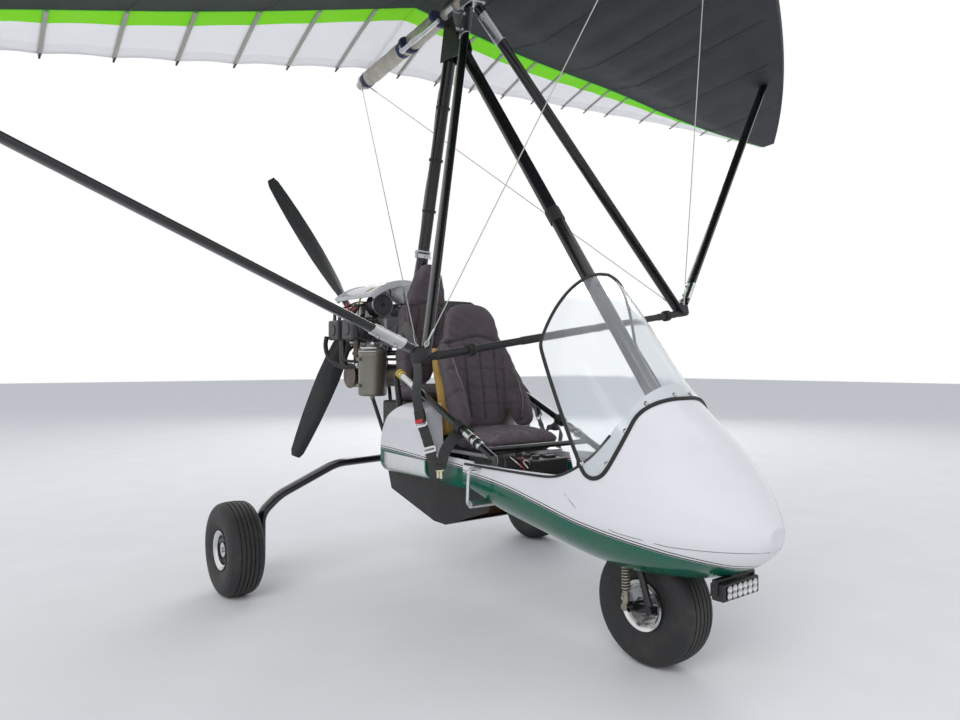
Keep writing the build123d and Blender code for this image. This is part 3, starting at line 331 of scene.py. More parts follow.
def fall_on(points, direction, triangles, lift=0.0):
    """First places where points that move along direction meet triangles, lifted back by lift.
    A hit solves point + t * direction = corner + u * edge + v * other edge. A miss is nan."""
    points = np.asarray(points, float)
    d = np.asarray(direction, float) / np.linalg.norm(direction)
    corner = triangles[:, 0]
    edge, other = triangles[:, 1] - corner, triangles[:, 2] - corner
    across = np.cross(d, other)
    det = (edge * across).sum(1)
    det = np.where(np.abs(det) < 1e-14, np.nan, det)
    away = points[:, None] - corner[None]
    u = (away * across).sum(2) / det
    twisted = np.cross(away, edge[None])
    v = (twisted @ d) / det
    t = (twisted * other).sum(2) / det
    hit = (u >= 0) & (v >= 0) & (u + v <= 1) & (t > 0)
    t = np.where(hit, t, np.inf).min(1)
    return points + (np.where(np.isfinite(t), t, np.nan) - lift)[:, None] * d


def landed(points, direction, triangles, lift=0.0):
    """Only the points that meet a triangle."""
    found = fall_on(points, direction, triangles, lift)
    return found[np.isfinite(found).all(1)]


def from_side(outline, flip=1):
    """Side-view points (x, z) as places well beside the pod, to port or to starboard."""
    outline = np.asarray(outline, float)
    return placed(np.stack([outline[:, 0], np.full(len(outline), BESIDE * flip), outline[:, 1]], 1))


shell_triangles = triangles_of("nose_cone", "pod_tub")
print("pod triangles:", len(shell_triangles))

# %% [markdown]
# A material is a little machine of nodes. Most finishes here share one recipe: a base colour
# that drifts a little over the surface, a roughness that is rubbed up in places, and a fine
# bump at the size of the real grain. Writing the recipe once keeps each finish down to its
# own numbers, and the numbers say what the finish is.

# %% The finish recipe
DUST = (0.30, 0.25, 0.17)


def new_material(name):
    """An empty node material, its tree and its shader."""
    material = bpy.data.materials.new(name)
    material.use_nodes = True
    return material, material.node_tree, material.node_tree.nodes["Principled BSDF"]


def node(tree, kind, **settings):
    """A node of one kind: its settings, then the values of its sockets by name or number."""
    made = tree.nodes.new(kind)
    sockets = settings.pop("inputs", {})
    for key, value in settings.items():
        setattr(made, key, value)
    for key, value in sockets.items():
        made.inputs[key].default_value = value
    return made


def maths(tree, operation, *operands):
    """A Math node: each operand is another node's output or a number."""
    made = node(tree, "ShaderNodeMath", operation=operation)
    for number, operand in enumerate(operands):
        if isinstance(operand, (int, float)):
            made.inputs[number].default_value = operand
        else:
            tree.links.new(operand, made.inputs[number])
    return made.outputs[0]


def ranged(tree, source, **limits):
    """A Map Range node: source from one range laid over another, and held at its ends."""
    made = node(tree, "ShaderNodeMapRange",
                inputs={key.replace("_", " "): value for key, value in limits.items()})
    tree.links.new(source, made.inputs["Value"])
    return made.outputs["Result"]


def object_axes(tree):
    """The three Object coordinates, apart."""
    coords = node(tree, "ShaderNodeTexCoord")
    apart = node(tree, "ShaderNodeSeparateXYZ")
    tree.links.new(coords.outputs["Object"], apart.inputs[0])
    return apart.outputs


def object_noise(tree, scale, detail=4.0, rough=0.55, stretch=(1, 1, 1)):
    """Noise read at Object coordinates, squeezed along each axis by stretch."""
    coords = node(tree, "ShaderNodeTexCoord")
    mapping = node(tree, "ShaderNodeMapping", inputs={"Scale": stretch})
    noise = node(tree, "ShaderNodeTexNoise", inputs={"Scale": scale, "Detail": detail, "Roughness": rough})
    tree.links.new(coords.outputs["Object"], mapping.inputs["Vector"])
    tree.links.new(mapping.outputs["Vector"], noise.inputs["Vector"])
    return noise.outputs["Fac"]


def weave(tree, first, second, per_metre):
    """Two crossed waves for the yarns of a cloth."""
    axes = object_axes(tree)
    return maths(tree, "ADD", *(maths(tree, "SINE", maths(tree, "MULTIPLY", axes[axis], per_metre))
                                for axis in (first, second)))


def blend_colours(tree, share, first, second):
    """first where share is 0 and second where it is 1; either is a node's output or a colour."""
    made = node(tree, "ShaderNodeMix", data_type="RGBA")
    tree.links.new(share, made.inputs["Factor"])
    for socket, colour in ((6, first), (7, second)):
        if isinstance(colour, tuple):
            made.inputs[socket].default_value = (*colour, 1)
        else:
            tree.links.new(colour, made.inputs[socket])
    return made.outputs[2]


def drifting(tree, colour, drift, scale):
    """A colour that goes a little darker and lighter in soft clouds."""
    made = node(tree, "ShaderNodeValToRGB")
    for element, place, way in zip(made.color_ramp.elements, (0.3, 0.7), (-1, 1)):
        element.position = place
        element.color = (*np.clip(np.array(colour) * (1 + way * drift), 0, 1).tolist(), 1)
    tree.links.new(object_noise(tree, scale), made.inputs["Fac"])
    return made.outputs["Color"]


def patched(tree, base, most, colour, scale=7.0, low=0.48, high=0.8, detail=7):
    """The base with a second colour laid over it in patches, by at most a share."""
    share = ranged(tree, object_noise(tree, scale, detail=detail, rough=0.7),
                   From_Min=low, From_Max=high, To_Max=most)
    return blend_colours(tree, share, base, colour)


def lay_on(tree, shader, base, rub, roughness, relief, depth, plain=()):
    """Join the shader's base colour, its roughness over a range as rub says, a relief in 0..1 that
    is depth metres deep, and the sockets that have one plain value."""
    tree.links.new(base, shader.inputs["Base Color"])
    tree.links.new(ranged(tree, rub, To_Min=roughness[0], To_Max=roughness[1]), shader.inputs["Roughness"])
    made = node(tree, "ShaderNodeBump", inputs={"Strength": 1.0, "Distance": depth})
    tree.links.new(relief, made.inputs["Height"])
    tree.links.new(made.outputs["Normal"], shader.inputs["Normal"])
    for socket, value in dict(plain).items():
        shader.inputs[socket].default_value = value


def finish(name, colour, roughness, drift=0.12, drift_scale=3.0, metallic=0.0, grain_scale=300.0,
           grain_depth=0.0002, coat=0.0, sheen=0.0, stretch=(1, 1, 1), specular=0.5, dust=0.0,
           dust_colour=DUST):
    """A surface of one colour that drifts, with rubbed roughness, a fine grain and some dust."""
    material, tree, shader = new_material(name)
    base = drifting(tree, colour, drift, drift_scale)
    if dust > 0:
        base = patched(tree, base, dust, dust_colour)
    lay_on(tree, shader, base, object_noise(tree, drift_scale * 6, detail=6), roughness,
           object_noise(tree, grain_scale, detail=2, stretch=stretch), grain_depth,
           {"Metallic": metallic, "Coat Weight": coat, "Coat Roughness": 0.06, "Sheen Weight": sheen,
            "Specular IOR Level": specular})
    return material


def dress(material, names):
    """Give CAD solids one material."""
    for name in names.split():
        slots = nodes[name].data.materials
        slots.clear()
        slots.append(material)


# %% [markdown]
# Powder coat on the tubes is deep black and glossy, with the faint orange peel that the powder
# leaves. Bare alloy brackets are milled along one direction. Both are the shared recipe with
# other numbers, so every plain finish is one row of a table that also names what wears it.

# %% Paint, metal, rubber and cloth
# columns: name of the look, its material, colour, roughness, other numbers of the recipe, solids
FINISHES = (
    ("black_paint", "black powder coat", (0.008, 0.008, 0.010), (0.16, 0.27),
     dict(coat=0.35, grain_scale=220, grain_depth=0.00003, specular=0.4, dust=0.03),
     "keel_beam mast front_strut gear_leg_left gear_leg_right downtube_left downtube_right "
     "wing_strut_left wing_strut_right seat_rails engine_mount fork links"),
    ("alloy", "milled alloy", (0.55, 0.55, 0.57), (0.25, 0.45),
     dict(metallic=1.0, grain_scale=160, grain_depth=0.00012, stretch=(1, 8, 8)),
     "nose_plate apex_bracket hang_block seat_pan foot_bar propeller_hub gearbox"),
    ("bright_steel", "bright steel", (0.62, 0.62, 0.63), (0.12, 0.26),
     dict(metallic=1.0, drift_scale=14), "steps"),
    ("casting", "cast alloy", (0.30, 0.30, 0.31), (0.42, 0.62),
     dict(metallic=0.75, grain_scale=500, grain_depth=0.0005, dust=0.2, dust_colour=(0.07, 0.05, 0.035)),
     "engine_block"),
    ("dark_casting", "dark cast covers", (0.085, 0.085, 0.09), (0.35, 0.55),
     dict(metallic=0.4, grain_scale=520, grain_depth=0.0005, dust=0.2, dust_colour=(0.08, 0.06, 0.04)),
     "cylinders"),
    ("steel", "ground steel", (0.5, 0.5, 0.51), (0.2, 0.35), dict(metallic=1.0), "axles"),
    ("spring_steel", "spring steel", (0.46, 0.41, 0.33), (0.35, 0.55),
     dict(metallic=0.6, drift=0.25, drift_scale=40), ""),
    ("wire_steel", "stranded wire", (0.60, 0.58, 0.54), (0.3, 0.45),
     dict(metallic=0.7, grain_scale=900, grain_depth=0.0006, stretch=(1, 1, 4)),
     "front_wires rear_wires"),
    ("black_plastic", "grained black plastic", (0.013, 0.013, 0.014), (0.38, 0.58),
     dict(grain_scale=900, grain_depth=0.0003, dust=0.1),
     "mast_head instrument_board switch_box lamp_bar tank_box belly_scoop"),
    ("soft_rubber", "soft black rubber", (0.016, 0.016, 0.017), (0.5, 0.7), dict(grain_scale=500),
     "base_bar"),
    ("grey_gasket", "grey gasket", (0.22, 0.22, 0.23), (0.5, 0.7), dict(drift_scale=20), ""),
    ("red_rubber", "red silicone hose", (0.42, 0.035, 0.03), (0.35, 0.5), dict(drift_scale=20), ""),
    ("heat_steel", "heat stained steel", (0.13, 0.11, 0.095), (0.3, 0.55),
     dict(drift=0.4, drift_scale=9, metallic=1.0), "exhaust"),
    ("brass", "brass", (0.55, 0.40, 0.16), (0.22, 0.4), dict(metallic=1.0, drift_scale=30), ""),
    ("tank_paint", "satin tank", (0.19, 0.185, 0.16), (0.28, 0.42),
     dict(metallic=0.75, coat=0.2, stretch=(6, 6, 1), grain_scale=90, dust=0.12), "oil_tank"),
    ("rubber", "tyre rubber", (0.019, 0.019, 0.020), (0.5, 0.75),
     dict(drift_scale=12, grain_scale=700, grain_depth=0.0003, dust=0.12),
     "nose_tyre left_tyre right_tyre"),
    ("rim_alloy", "polished rim", (0.66, 0.66, 0.67), (0.14, 0.3),
     dict(metallic=1.0, drift_scale=10, dust=0.12), "nose_rim left_rim right_rim"),
    ("blade_skin", "blade composite", (0.022, 0.024, 0.028), (0.3, 0.45),
     dict(coat=0.2, grain_scale=180, grain_depth=0.00003), "propeller_blades"),
    ("core_fins", "radiator core", (0.12, 0.055, 0.025), (0.5, 0.7),
     dict(metallic=0.6, grain_scale=260, grain_depth=0.002, stretch=(1, 6, 0.2)), "radiator"),
    ("cowl_paint", "cowl gelcoat", (0.66, 0.66, 0.67), (0.2, 0.34),
     dict(drift=0.05, coat=0.4, grain_scale=60, grain_depth=0.0001, dust=0.12), "air_box"),
    ("cream_sleeve", "cream sleeve", (0.52, 0.49, 0.42), (0.45, 0.6),
     dict(drift=0.16, drift_scale=20, grain_scale=700, grain_depth=0.0003, dust=0.12), "wing_keel"),
    ("navy_band", "navy band", (0.02, 0.03, 0.09), (0.6, 0.8),
     dict(grain_scale=900, grain_depth=0.0004, sheen=0.2), ""),
    ("webbing", "black webbing", (0.014, 0.014, 0.015), (0.55, 0.75),
     dict(grain_scale=1400, grain_depth=0.0006, stretch=(1, 1, 0.25), sheen=0.3, dust=0.12), ""),
    ("yellow_band", "yellow band", (0.60, 0.42, 0.03), (0.4, 0.55), dict(drift_scale=25), ""),
    ("red_button", "red button", (0.55, 0.02, 0.03), (0.25, 0.4), dict(drift_scale=40), ""),
    ("clip_cream", "cream clip", (0.62, 0.58, 0.40), (0.35, 0.5), dict(drift_scale=40), ""),
    ("plate_white", "bare white plate", (0.70, 0.70, 0.70), (0.3, 0.42),
     dict(drift=0.04, grain_scale=80, drift_scale=12), ""),
    ("dial_black", "gauge face", (0.02, 0.02, 0.022), (0.3, 0.4), dict(drift_scale=30), ""),
    ("dial_white", "dial marks", (0.75, 0.75, 0.72), (0.4, 0.5), dict(drift=0.03, drift_scale=30), ""),
    ("piping_cloth", "piping", (0.23, 0.18, 0.21), (0.6, 0.8),
     dict(drift_scale=30, grain_scale=900, grain_depth=0.0003, sheen=0.2), ""),
    ("ochre_cloth", "ochre canvas", (0.50, 0.31, 0.085), (0.75, 0.9),
     dict(drift=0.22, drift_scale=14, grain_scale=900, grain_depth=0.0006, sheen=0.2, dust=0.25,
          dust_colour=(0.20, 0.12, 0.04)), ""),
    ("floor_grey", "studio floor", (0.84, 0.84, 0.83), (0.7, 0.85), dict(drift=0.02, grain_scale=40), ""),
)
for key, name, colour, roughness, numbers, solids in FINISHES:
    looks[key] = finish(name, colour, roughness, **numbers)
    dress(looks[key], solids)
print("finishes:", len(looks))

# %% [markdown]
# The shells are sprayed white, masked along one long line, and sprayed green below it, with two
# fine dark lines over the joint. The line is the same from the side pods to the nose, so one
# curve gives its height at each station, and the paint asks how far it is above that height.

# %% The painted shells
# columns: x, height of the masking line
PAINT_LINE = np.array([(0.262, 0.634), (0.653, 0.616), (0.93, 0.599), (1.176, 0.580), (1.382, 0.545),
                       (1.564, 0.502), (1.73, 0.470), (1.907, 0.436), (2.072, 0.405)])
LINE_LENGTH, LINE_LOW, LINE_HIGH = 2.4, 0.35, 0.70
FINE_LINES = ((0.001, 0.006), (0.011, 0.0145))


def above_paint_line(tree):
    """Metres above the masking line: z less the curve's height at this x."""
    axes = object_axes(tree)
    along = maths(tree, "MULTIPLY_ADD", axes["X"], 1 / LINE_LENGTH, float(-datum[0] / LINE_LENGTH))
    curve = node(tree, "ShaderNodeFloatCurve")
    shape = curve.mapping.curves[0]
    x = PAINT_LINE[:, 0] / LINE_LENGTH
    z = (PAINT_LINE[:, 1] - LINE_LOW) / (LINE_HIGH - LINE_LOW)
    shape.points[0].location = (0.0, float(z[0]))
    shape.points[1].location = (1.0, float(z[-1]))
    for place in zip(x.tolist(), z.tolist()):
        shape.points.new(*place)
    curve.mapping.update()
    tree.links.new(along, curve.inputs["Value"])
    height = maths(tree, "MULTIPLY_ADD", curve.outputs[0], LINE_HIGH - LINE_LOW, LINE_LOW)
    return maths(tree, "SUBTRACT", axes["Z"], height)


painted, tree, shader = new_material("white over green gelcoat")
over = above_paint_line(tree)
bands = [maths(tree, "MULTIPLY", maths(tree, "GREATER_THAN", over, low),
               maths(tree, "LESS_THAN", over, high))
         for low, high in FINE_LINES]
white = drifting(tree, (0.70, 0.70, 0.725), 0.03, 3.0)
green = drifting(tree, (0.0005, 0.098, 0.056), 0.10, 4.0)
two_tone = blend_colours(tree, maths(tree, "GREATER_THAN", over, 0.0), green, white)
two_tone = blend_colours(tree, maths(tree, "MAXIMUM", *bands), two_tone, (0.015, 0.016, 0.018))
two_tone = patched(tree, two_tone, 0.10, (0.34, 0.31, 0.25), scale=5.0, low=0.5, high=0.85, detail=8)
lay_on(tree, shader, two_tone, object_noise(tree, 20, detail=6), (0.12, 0.24),
       object_noise(tree, 60, detail=2), 0.0001, {"Coat Weight": 0.4, "Coat Roughness": 0.05})
dress(painted, "nose_cone pod_tub side_pods")
print("paint line from", PAINT_LINE[0], "to", PAINT_LINE[-1])

# %% [markdown]
# The screen is blown acrylic, 4 mm thick. Clear plastic shows itself by what it mirrors and by a
# fine veil of scratches and dust, so the shader lets nine tenths of the light through and
# scatters the rest as a pale haze, and its gloss is smeared in patches.

# %% The clear screen
screen, tree, shader = new_material("clear screen")
for socket, value in (("Base Color", (0.92, 0.95, 0.97, 1)), ("Transmission Weight", 0.9), ("IOR", 1.28)):
    shader.inputs[socket].default_value = value
tree.links.new(ranged(tree, object_noise(tree, 9.0, detail=6), To_Min=0.02, To_Max=0.08),
               shader.inputs["Roughness"])
dress(screen, "windscreen")

# %% [markdown]
# Two solids carry a bare metal part and a black one: a carburettor with its filter in front, and
# a damper whose upper part stands dark inside its spring. A place along one axis divides them. A
# map of that coordinate goes from 0 to 1 within two millimetres, and it mixes colour and metalness.

# %% Bare metal that turns black
def bare_and_black(name, solid, axis, edge, bare, black, rub_scale, roughness, depth):
    """Bare metal before the edge on one axis and black after it; bare is colour, drift, scale."""
    material, tree, shader = new_material(name)
    beyond = ranged(tree, object_axes(tree)[axis], From_Min=edge - 0.001, From_Max=edge + 0.001)
    base = blend_colours(tree, beyond, drifting(tree, *bare), black)
    tree.links.new(maths(tree, "SUBTRACT", 1.0, beyond), shader.inputs["Metallic"])
    lay_on(tree, shader, base, object_noise(tree, rub_scale, detail=5), roughness,
           object_noise(tree, 420, detail=3), depth)
    dress(material, solid)


FILTER_X, SPRING_FOOT_Z = -0.116, 0.262
bare_and_black("carburettor and filter", "air_filters", "X", float(datum[0]) + FILTER_X,
               ((0.42, 0.41, 0.39), 0.35, 22.0), (0.018, 0.018, 0.020), 60, (0.3, 0.55), 0.0003)
bare_and_black("damper", "spring_units", "Z", SPRING_FOOT_Z, ((0.34, 0.31, 0.25), 0.2, 20.0),
               (0.012, 0.012, 0.012), 70, (0.25, 0.5), 0.0002)

# %% [markdown]
# The wing hangs nose high and banked, so its parts are easiest to measure in its own frame: x
# along the keel, origin over the hang bolt. Two turns and two shifts carry that frame into the
# model, and since points are rows of an array, each turn is one matrix product.

# %% The wing's own frame
HANG_BOLT = (0.430, 0.0, 2.620)
KEEL_ABOVE_BOLT = 0.105
KEEL_PITCH = 6.0
WING_BANK = 8.5
SIDES = ((1, "left"), (-1, "right"))


def turn(axis, degrees):
    """The matrix that turns about x or y."""
    c, s = math.cos(math.radians(degrees)), math.sin(math.radians(degrees))
    if axis == "x":
        return np.array([[1, 0, 0], [0, c, -s], [0, s, c]])
    return np.array([[c, 0, s], [0, 1, 0], [-s, 0, c]])


def on_wing(points):
    """Points in the wing's frame, banked about the keel, raised off the bolt, pitched and moved."""
    banked = np.asarray(points, float) @ turn("x", WING_BANK).T + [0, 0, KEEL_ABOVE_BOLT]
    return placed(banked @ turn("y", -KEEL_PITCH).T + HANG_BOLT)


def wing_way(direction):
    """A direction in the wing's frame as the model sees it."""
    return np.asarray(direction, float) @ turn("x", WING_BANK).T @ turn("y", -KEEL_PITCH).T


WING_UP = wing_way((0, 0, 1))
print("wing up:", WING_UP.round(3))

# %% [markdown]
# The sail is cut from a few stations: where its trailing edge and the rear edge of its double
# surface lie, how thick it is and how much the rear is washed out. Between stations each column
# runs on smoothly. At every station the top is two arcs that are level at the crest, one down to
# the nose and one down to the rear, so a height is a circle's height.

# %% Sail stations
# columns: y, trailing edge behind the nose, double surface behind the nose, thickness, washout
SAIL = np.array([(0, 2.240, 1.740, 0.205, 0), (0.9, 2.300, 1.935, 0.182, 0.004),
                 (1.9, 2.340, 2.095, 0.142, 0.010), (2.9, 2.390, 2.290, 0.100, 0.016),
                 (3.8, 2.460, 2.425, 0.056, 0.014), (4.48, 2.505, 2.485, 0.024, 0.002)])
REAR_EDGE, DOUBLE_EDGE, THICKNESS, WASHOUT = 1, 2, 3, 4
NOSE_X = 1.440
HALF_SPAN = 4.48
ROOT_BASE, DROOP = 0.032, math.tan(math.radians(2.5))
CREST = 0.32
BLUNT = 0.36
BATTEN_Y = np.array([0.20, 0.48, 0.76, 1.04, 1.32, 1.62, 1.86, 2.10, 2.53, 2.95, 3.43, 3.90])
BAY_EDGES = np.concatenate([[0.0], BATTEN_Y, [HALF_SPAN]])


def column(y, number):
    """A column of the table at y: on each run the cubic that keeps the stations' slopes."""
    knots, values = SAIL[:, 0], SAIL[:, number]
    slope = np.gradient(values, knots)
    i = np.clip(np.searchsorted(knots, y) - 1, 0, len(knots) - 2)
    run = knots[i + 1] - knots[i]
    t = (y - knots[i]) / run
    return ((2 * t ** 3 - 3 * t ** 2 + 1) * values[i] + (t ** 3 - 2 * t ** 2 + t) * run * slope[i]
            + (3 * t ** 2 - 2 * t ** 3) * values[i + 1] + (t ** 3 - t ** 2) * run * slope[i + 1])


def leading(y):
    """x of the leading edge: the nose, less the sweep and its bend."""
    return NOSE_X - 0.376 * y - 0.0335 * y ** 2


def behind_nose(y, number):
    """x of one of the edges that the table gives behind the nose."""
    return NOSE_X - column(y, number)


def base_height(y):
    """Height of the skin's base: it droops towards the tip by one slope."""
    return ROOT_BASE - y * DROOP


def under_nose(y):
    """x where the lower skin begins, a little behind the leading edge."""
    return leading(y) - 0.07 * column(y, THICKNESS) - 0.010


def top_height(y, x):
    """Height of the top skin at x: crest - radius + sqrt(radius^2 - (x - crest x)^2), where the
    radius is (run^2 + drop^2) / (2 drop) of the front arc or the rear one."""
    lead, thick, base = leading(y), column(y, THICKNESS), base_height(y)
    chord = lead - behind_nose(y, REAR_EDGE)
    crest_x, crest_z = lead - CREST * chord, base + thick
    ahead = x > crest_x
    run = np.where(ahead, CREST, 1 - CREST) * chord
    drop = crest_z - np.where(ahead, base + BLUNT * thick, base + 0.014 + column(y, WASHOUT))
    radius = (run ** 2 + drop ** 2) / (2 * drop)
    return crest_z - radius + np.sqrt(np.maximum(radius ** 2 - (x - crest_x) ** 2, 0))


def under_height(y, x):
    """Height of the lower skin at x: nearly level, then a ramp up to the double surface's edge."""
    base, low_x = base_height(y), under_nose(y)
    join_x = behind_nose(y, DOUBLE_EDGE)
    knee_x = join_x + 0.2 * (low_x - join_x)
    t = np.clip((knee_x - x) / (knee_x - join_x), 0, 1)
    return base + 0.004 + t * (top_height(y, join_x) - 0.007 - base - 0.004)


def bay(y):
    """0 on a batten and 1 midway between two: the sine of the share of the bay."""
    place = np.interp(y, BAY_EDGES, np.arange(len(BAY_EDGES)))
    return np.abs(np.sin(np.pi * place))


stations = np.concatenate([np.linspace(a, b, 7)[:-1] for a, b in zip(BAY_EDGES[:-1], BAY_EDGES[1:])]
                          + [[HALF_SPAN]])
print("sail stations:", len(stations))

# %% [markdown]
# Sailcloth is a tight polyester weave with a resin finish: a faint grid, a little shine, and soft
# creases that run from batten to batten. The white cloth glows when the sky is behind it, which
# a share of translucent light gives. One recipe serves the dark, the lime and the white cloth.

# %% Sailcloth
SAIL_YARNS = 2500.0


def sailcloth(name, colour, glow=0.0, dust=0.1):
    """Coated weave: two crossed waves for the yarns, noise for creases, and light through it."""
    material, tree, shader = new_material(name)
    base = patched(tree, drifting(tree, colour, 0.10, 1.5), dust, (0.33, 0.31, 0.28), scale=6.0, low=0.5)
    creases = maths(tree, "MULTIPLY", object_noise(tree, 9.0, detail=5, stretch=(1, 0.35, 1)), 6.0)
    lay_on(tree, shader, base, object_noise(tree, 12, detail=5), (0.5, 0.7),
           maths(tree, "ADD", weave(tree, "X", "Y", SAIL_YARNS), creases), 0.0004,
           {"Specular IOR Level": 0.35, "Subsurface Weight": glow, "Subsurface Radius": (1.0, 1.0, 1.0),
            "Subsurface Scale": 0.05})
    return material


looks["dark_cloth"] = sailcloth("dark sailcloth", (0.017, 0.020, 0.027), dust=0.04)
looks["lime_cloth"] = sailcloth("lime sailcloth", (0.025, 0.80, 0.001), glow=0.6, dust=0.02)
looks["white_cloth"] = sailcloth("white sailcloth", (0.86, 0.84, 0.85), glow=0.9, dust=0.04)
looks["hem_cloth"] = sailcloth("sail hem", (0.76, 0.73, 0.74), glow=0.8, dust=0.05)
looks["pocket_cloth"] = sailcloth("batten pocket", (0.64, 0.60, 0.53), glow=0.8, dust=0.15)
looks["seam_cloth"] = sailcloth("rib seam", (0.085, 0.088, 0.095))

# %% [markdown]
# The double surface is a bag: over the top, round the nose and back underneath. Only the hem of
# its rear edge is lime. As a grid it is one closed outline per station. Between battens nothing
# holds the cloth, so both skins sag a few millimetres, and each face is dark or lime by its column.

# %% The double surface
TOP_POINTS, NOSE_POINTS, UNDER_POINTS, STRIPE_POINTS = 26, 7, 18, 5
HEM_WIDTH = 0.012
TOP_SAG, UNDER_SAG = 0.004, 0.006


def on_skin(side, y, x, z):
    """Rows of x and z at the stations y, as places on one half of the wing."""
    return on_wing(np.stack([x, np.broadcast_to(side * y, x.shape), z], 2))


def main_skin(side):
    """Closed outlines from the rear of the top, round the nose, to the rear of the underside."""
    y = stations[:, None]
    lead, low_x, join_x = leading(y), under_nose(y), behind_nose(y, DOUBLE_EDGE)
    top_x = join_x + (lead - join_x) * np.sin(np.linspace(0, np.pi / 2, TOP_POINTS))[None, :]
    sag = bay(y)
    top_z = top_height(y, top_x) - TOP_SAG * sag * np.sin(np.pi * (top_x - join_x) / (lead - join_x))
    base = base_height(y)
    high_z = base + BLUNT * column(y, THICKNESS)
    around = np.linspace(0, np.pi, NOSE_POINTS + 2)[None, 1:-1]
    middle_x, middle_z = (lead + low_x) / 2, (high_z + base) / 2
    half = (high_z - base) / 2
    nose_x = middle_x + 0.5 * half * np.sin(around) + (lead - low_x) / 2 * np.cos(around)
    nose_z = middle_z + half * np.cos(around)
    stripe_x = join_x + np.minimum(HEM_WIDTH, 0.45 * (low_x - join_x))
    under_x = low_x + (stripe_x - low_x) * np.linspace(0, 1, UNDER_POINTS)[None, :-1]
    last_x = stripe_x + (join_x - stripe_x) * np.linspace(0, 1, STRIPE_POINTS)[None, :]
    low_run = np.concatenate([under_x, last_x], 1)
    share = (low_x - low_run) / (low_x - join_x)
    low_z = under_height(y, low_run) - UNDER_SAG * sag * np.sin(np.pi * share)
    x = np.concatenate([top_x, nose_x, low_run], 1)
    return on_skin(side, y, x, np.concatenate([top_z, nose_z, low_z], 1))


under_start = TOP_POINTS + NOSE_POINTS
for side, name in SIDES:
    grid = main_skin(side)
    shape = tube_shape(grid)
    columns = grid.shape[1]
    face_column = np.arange((len(stations) - 1) * columns) % columns
    stripe = (face_column >= under_start + UNDER_POINTS - 1) & (face_column < columns - 1)
    kinds = np.concatenate([np.where(stripe, 1, 0), np.zeros(len(shape[1]) - len(face_column), int)])
    skin = make_piece(f"double_surface_{name}", [shape], "wing", "dark_cloth lime_cloth", kinds)
    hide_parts(f"sail_{name}")

# %% [markdown]
# Behind it the sail is a single cloth that lets the sky through. Its first 100 mm are lime and the
# rest is white. It is pulled tight at the battens and hollow between them, so its trailing edge is
# a row of shallow curves, and its last 65 mm are a doubled hem.

# %% The single surface
LIME_POINTS, REAR_POINTS = 5, 14
LIME_WIDTH, REAR_HEM, UNDERLAP = 0.100, 0.065, 0.02


def rear_skin(side):
    """Rows at the stations, columns from under the double surface to the hollow trailing edge."""
    y = stations[:, None]
    join_x = behind_nose(y, DOUBLE_EDGE) + UNDERLAP
    end_x = behind_nose(y, REAR_EDGE) + 0.009 * bay(y)
    hem_x = end_x + np.minimum(REAR_HEM, 0.4 * (join_x - end_x))
    lime_x = join_x - np.minimum(LIME_WIDTH + UNDERLAP, 0.35 * (join_x - end_x))
    lime = join_x + (lime_x - join_x) * np.linspace(0, 1, LIME_POINTS)[None, :-1]
    white = lime_x + (hem_x - lime_x) * np.linspace(0, 1, REAR_POINTS)[None, :-1]
    hem = hem_x + (end_x - hem_x) * np.linspace(0, 1, 4)[None, :]
    x = np.concatenate([lime, white, hem], 1)
    reach = (join_x - x) / (join_x - end_x)
    z = top_height(y, x) - 0.003 + 0.004 * bay(y) * np.sin(np.pi * reach * 0.8)
    return on_skin(side, y, x, z)


def grid_area(grid):
    """Area of a grid: half the length of the cross product of each face's diagonals."""
    first = grid[1:, 1:] - grid[:-1, :-1]
    second = grid[1:, :-1] - grid[:-1, 1:]
    return 0.5 * np.linalg.norm(np.cross(first, second), axis=2).sum()


for side, name in SIDES:
    grid = rear_skin(side)
    columns = grid.shape[1] - 1
    place = np.arange((len(stations) - 1) * columns) % columns
    kinds = np.searchsorted([LIME_POINTS - 1, LIME_POINTS + REAR_POINTS - 2], place, side="right")
    cloth = make_piece(f"single_surface_{name}", [sheet_shape(grid)], "wing",
                       "lime_cloth white_cloth hem_cloth", kinds)
    thicken(cloth, 0.0016)
    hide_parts(f"rear_sail_{name}")
    print("cloth area:", round(float(grid_area(grid)), 3))

# %% [markdown]
# Battens slide into pockets sewn on the cloth. Below, a buff pocket crosses the lime stripe and
# the white cloth and ends in a black tip that pulls the sail tight. Above, a flatter pocket runs
# from the nose. On the dark underside a thin, slightly paler seam shows at every second batten,
# where a rib is sewn in.

# %% Battens
def pockets(side, from_x, to_x, height, width, thick, drop, count=14, taper=1.0):
    """One closed pocket per batten: a flat oval carried along a line of points whose height is the
    skin's less drop."""
    x = from_x + (to_x - from_x) * np.linspace(0, 1, count)[None, :]
    lines = on_skin(side, BATTEN_Y[:, None], x, height(BATTEN_Y[:, None], x) - drop)
    return [carried(line, ring(width, thick, 8), WING_UP, np.linspace(1.0, taper, count)) for line in lines]


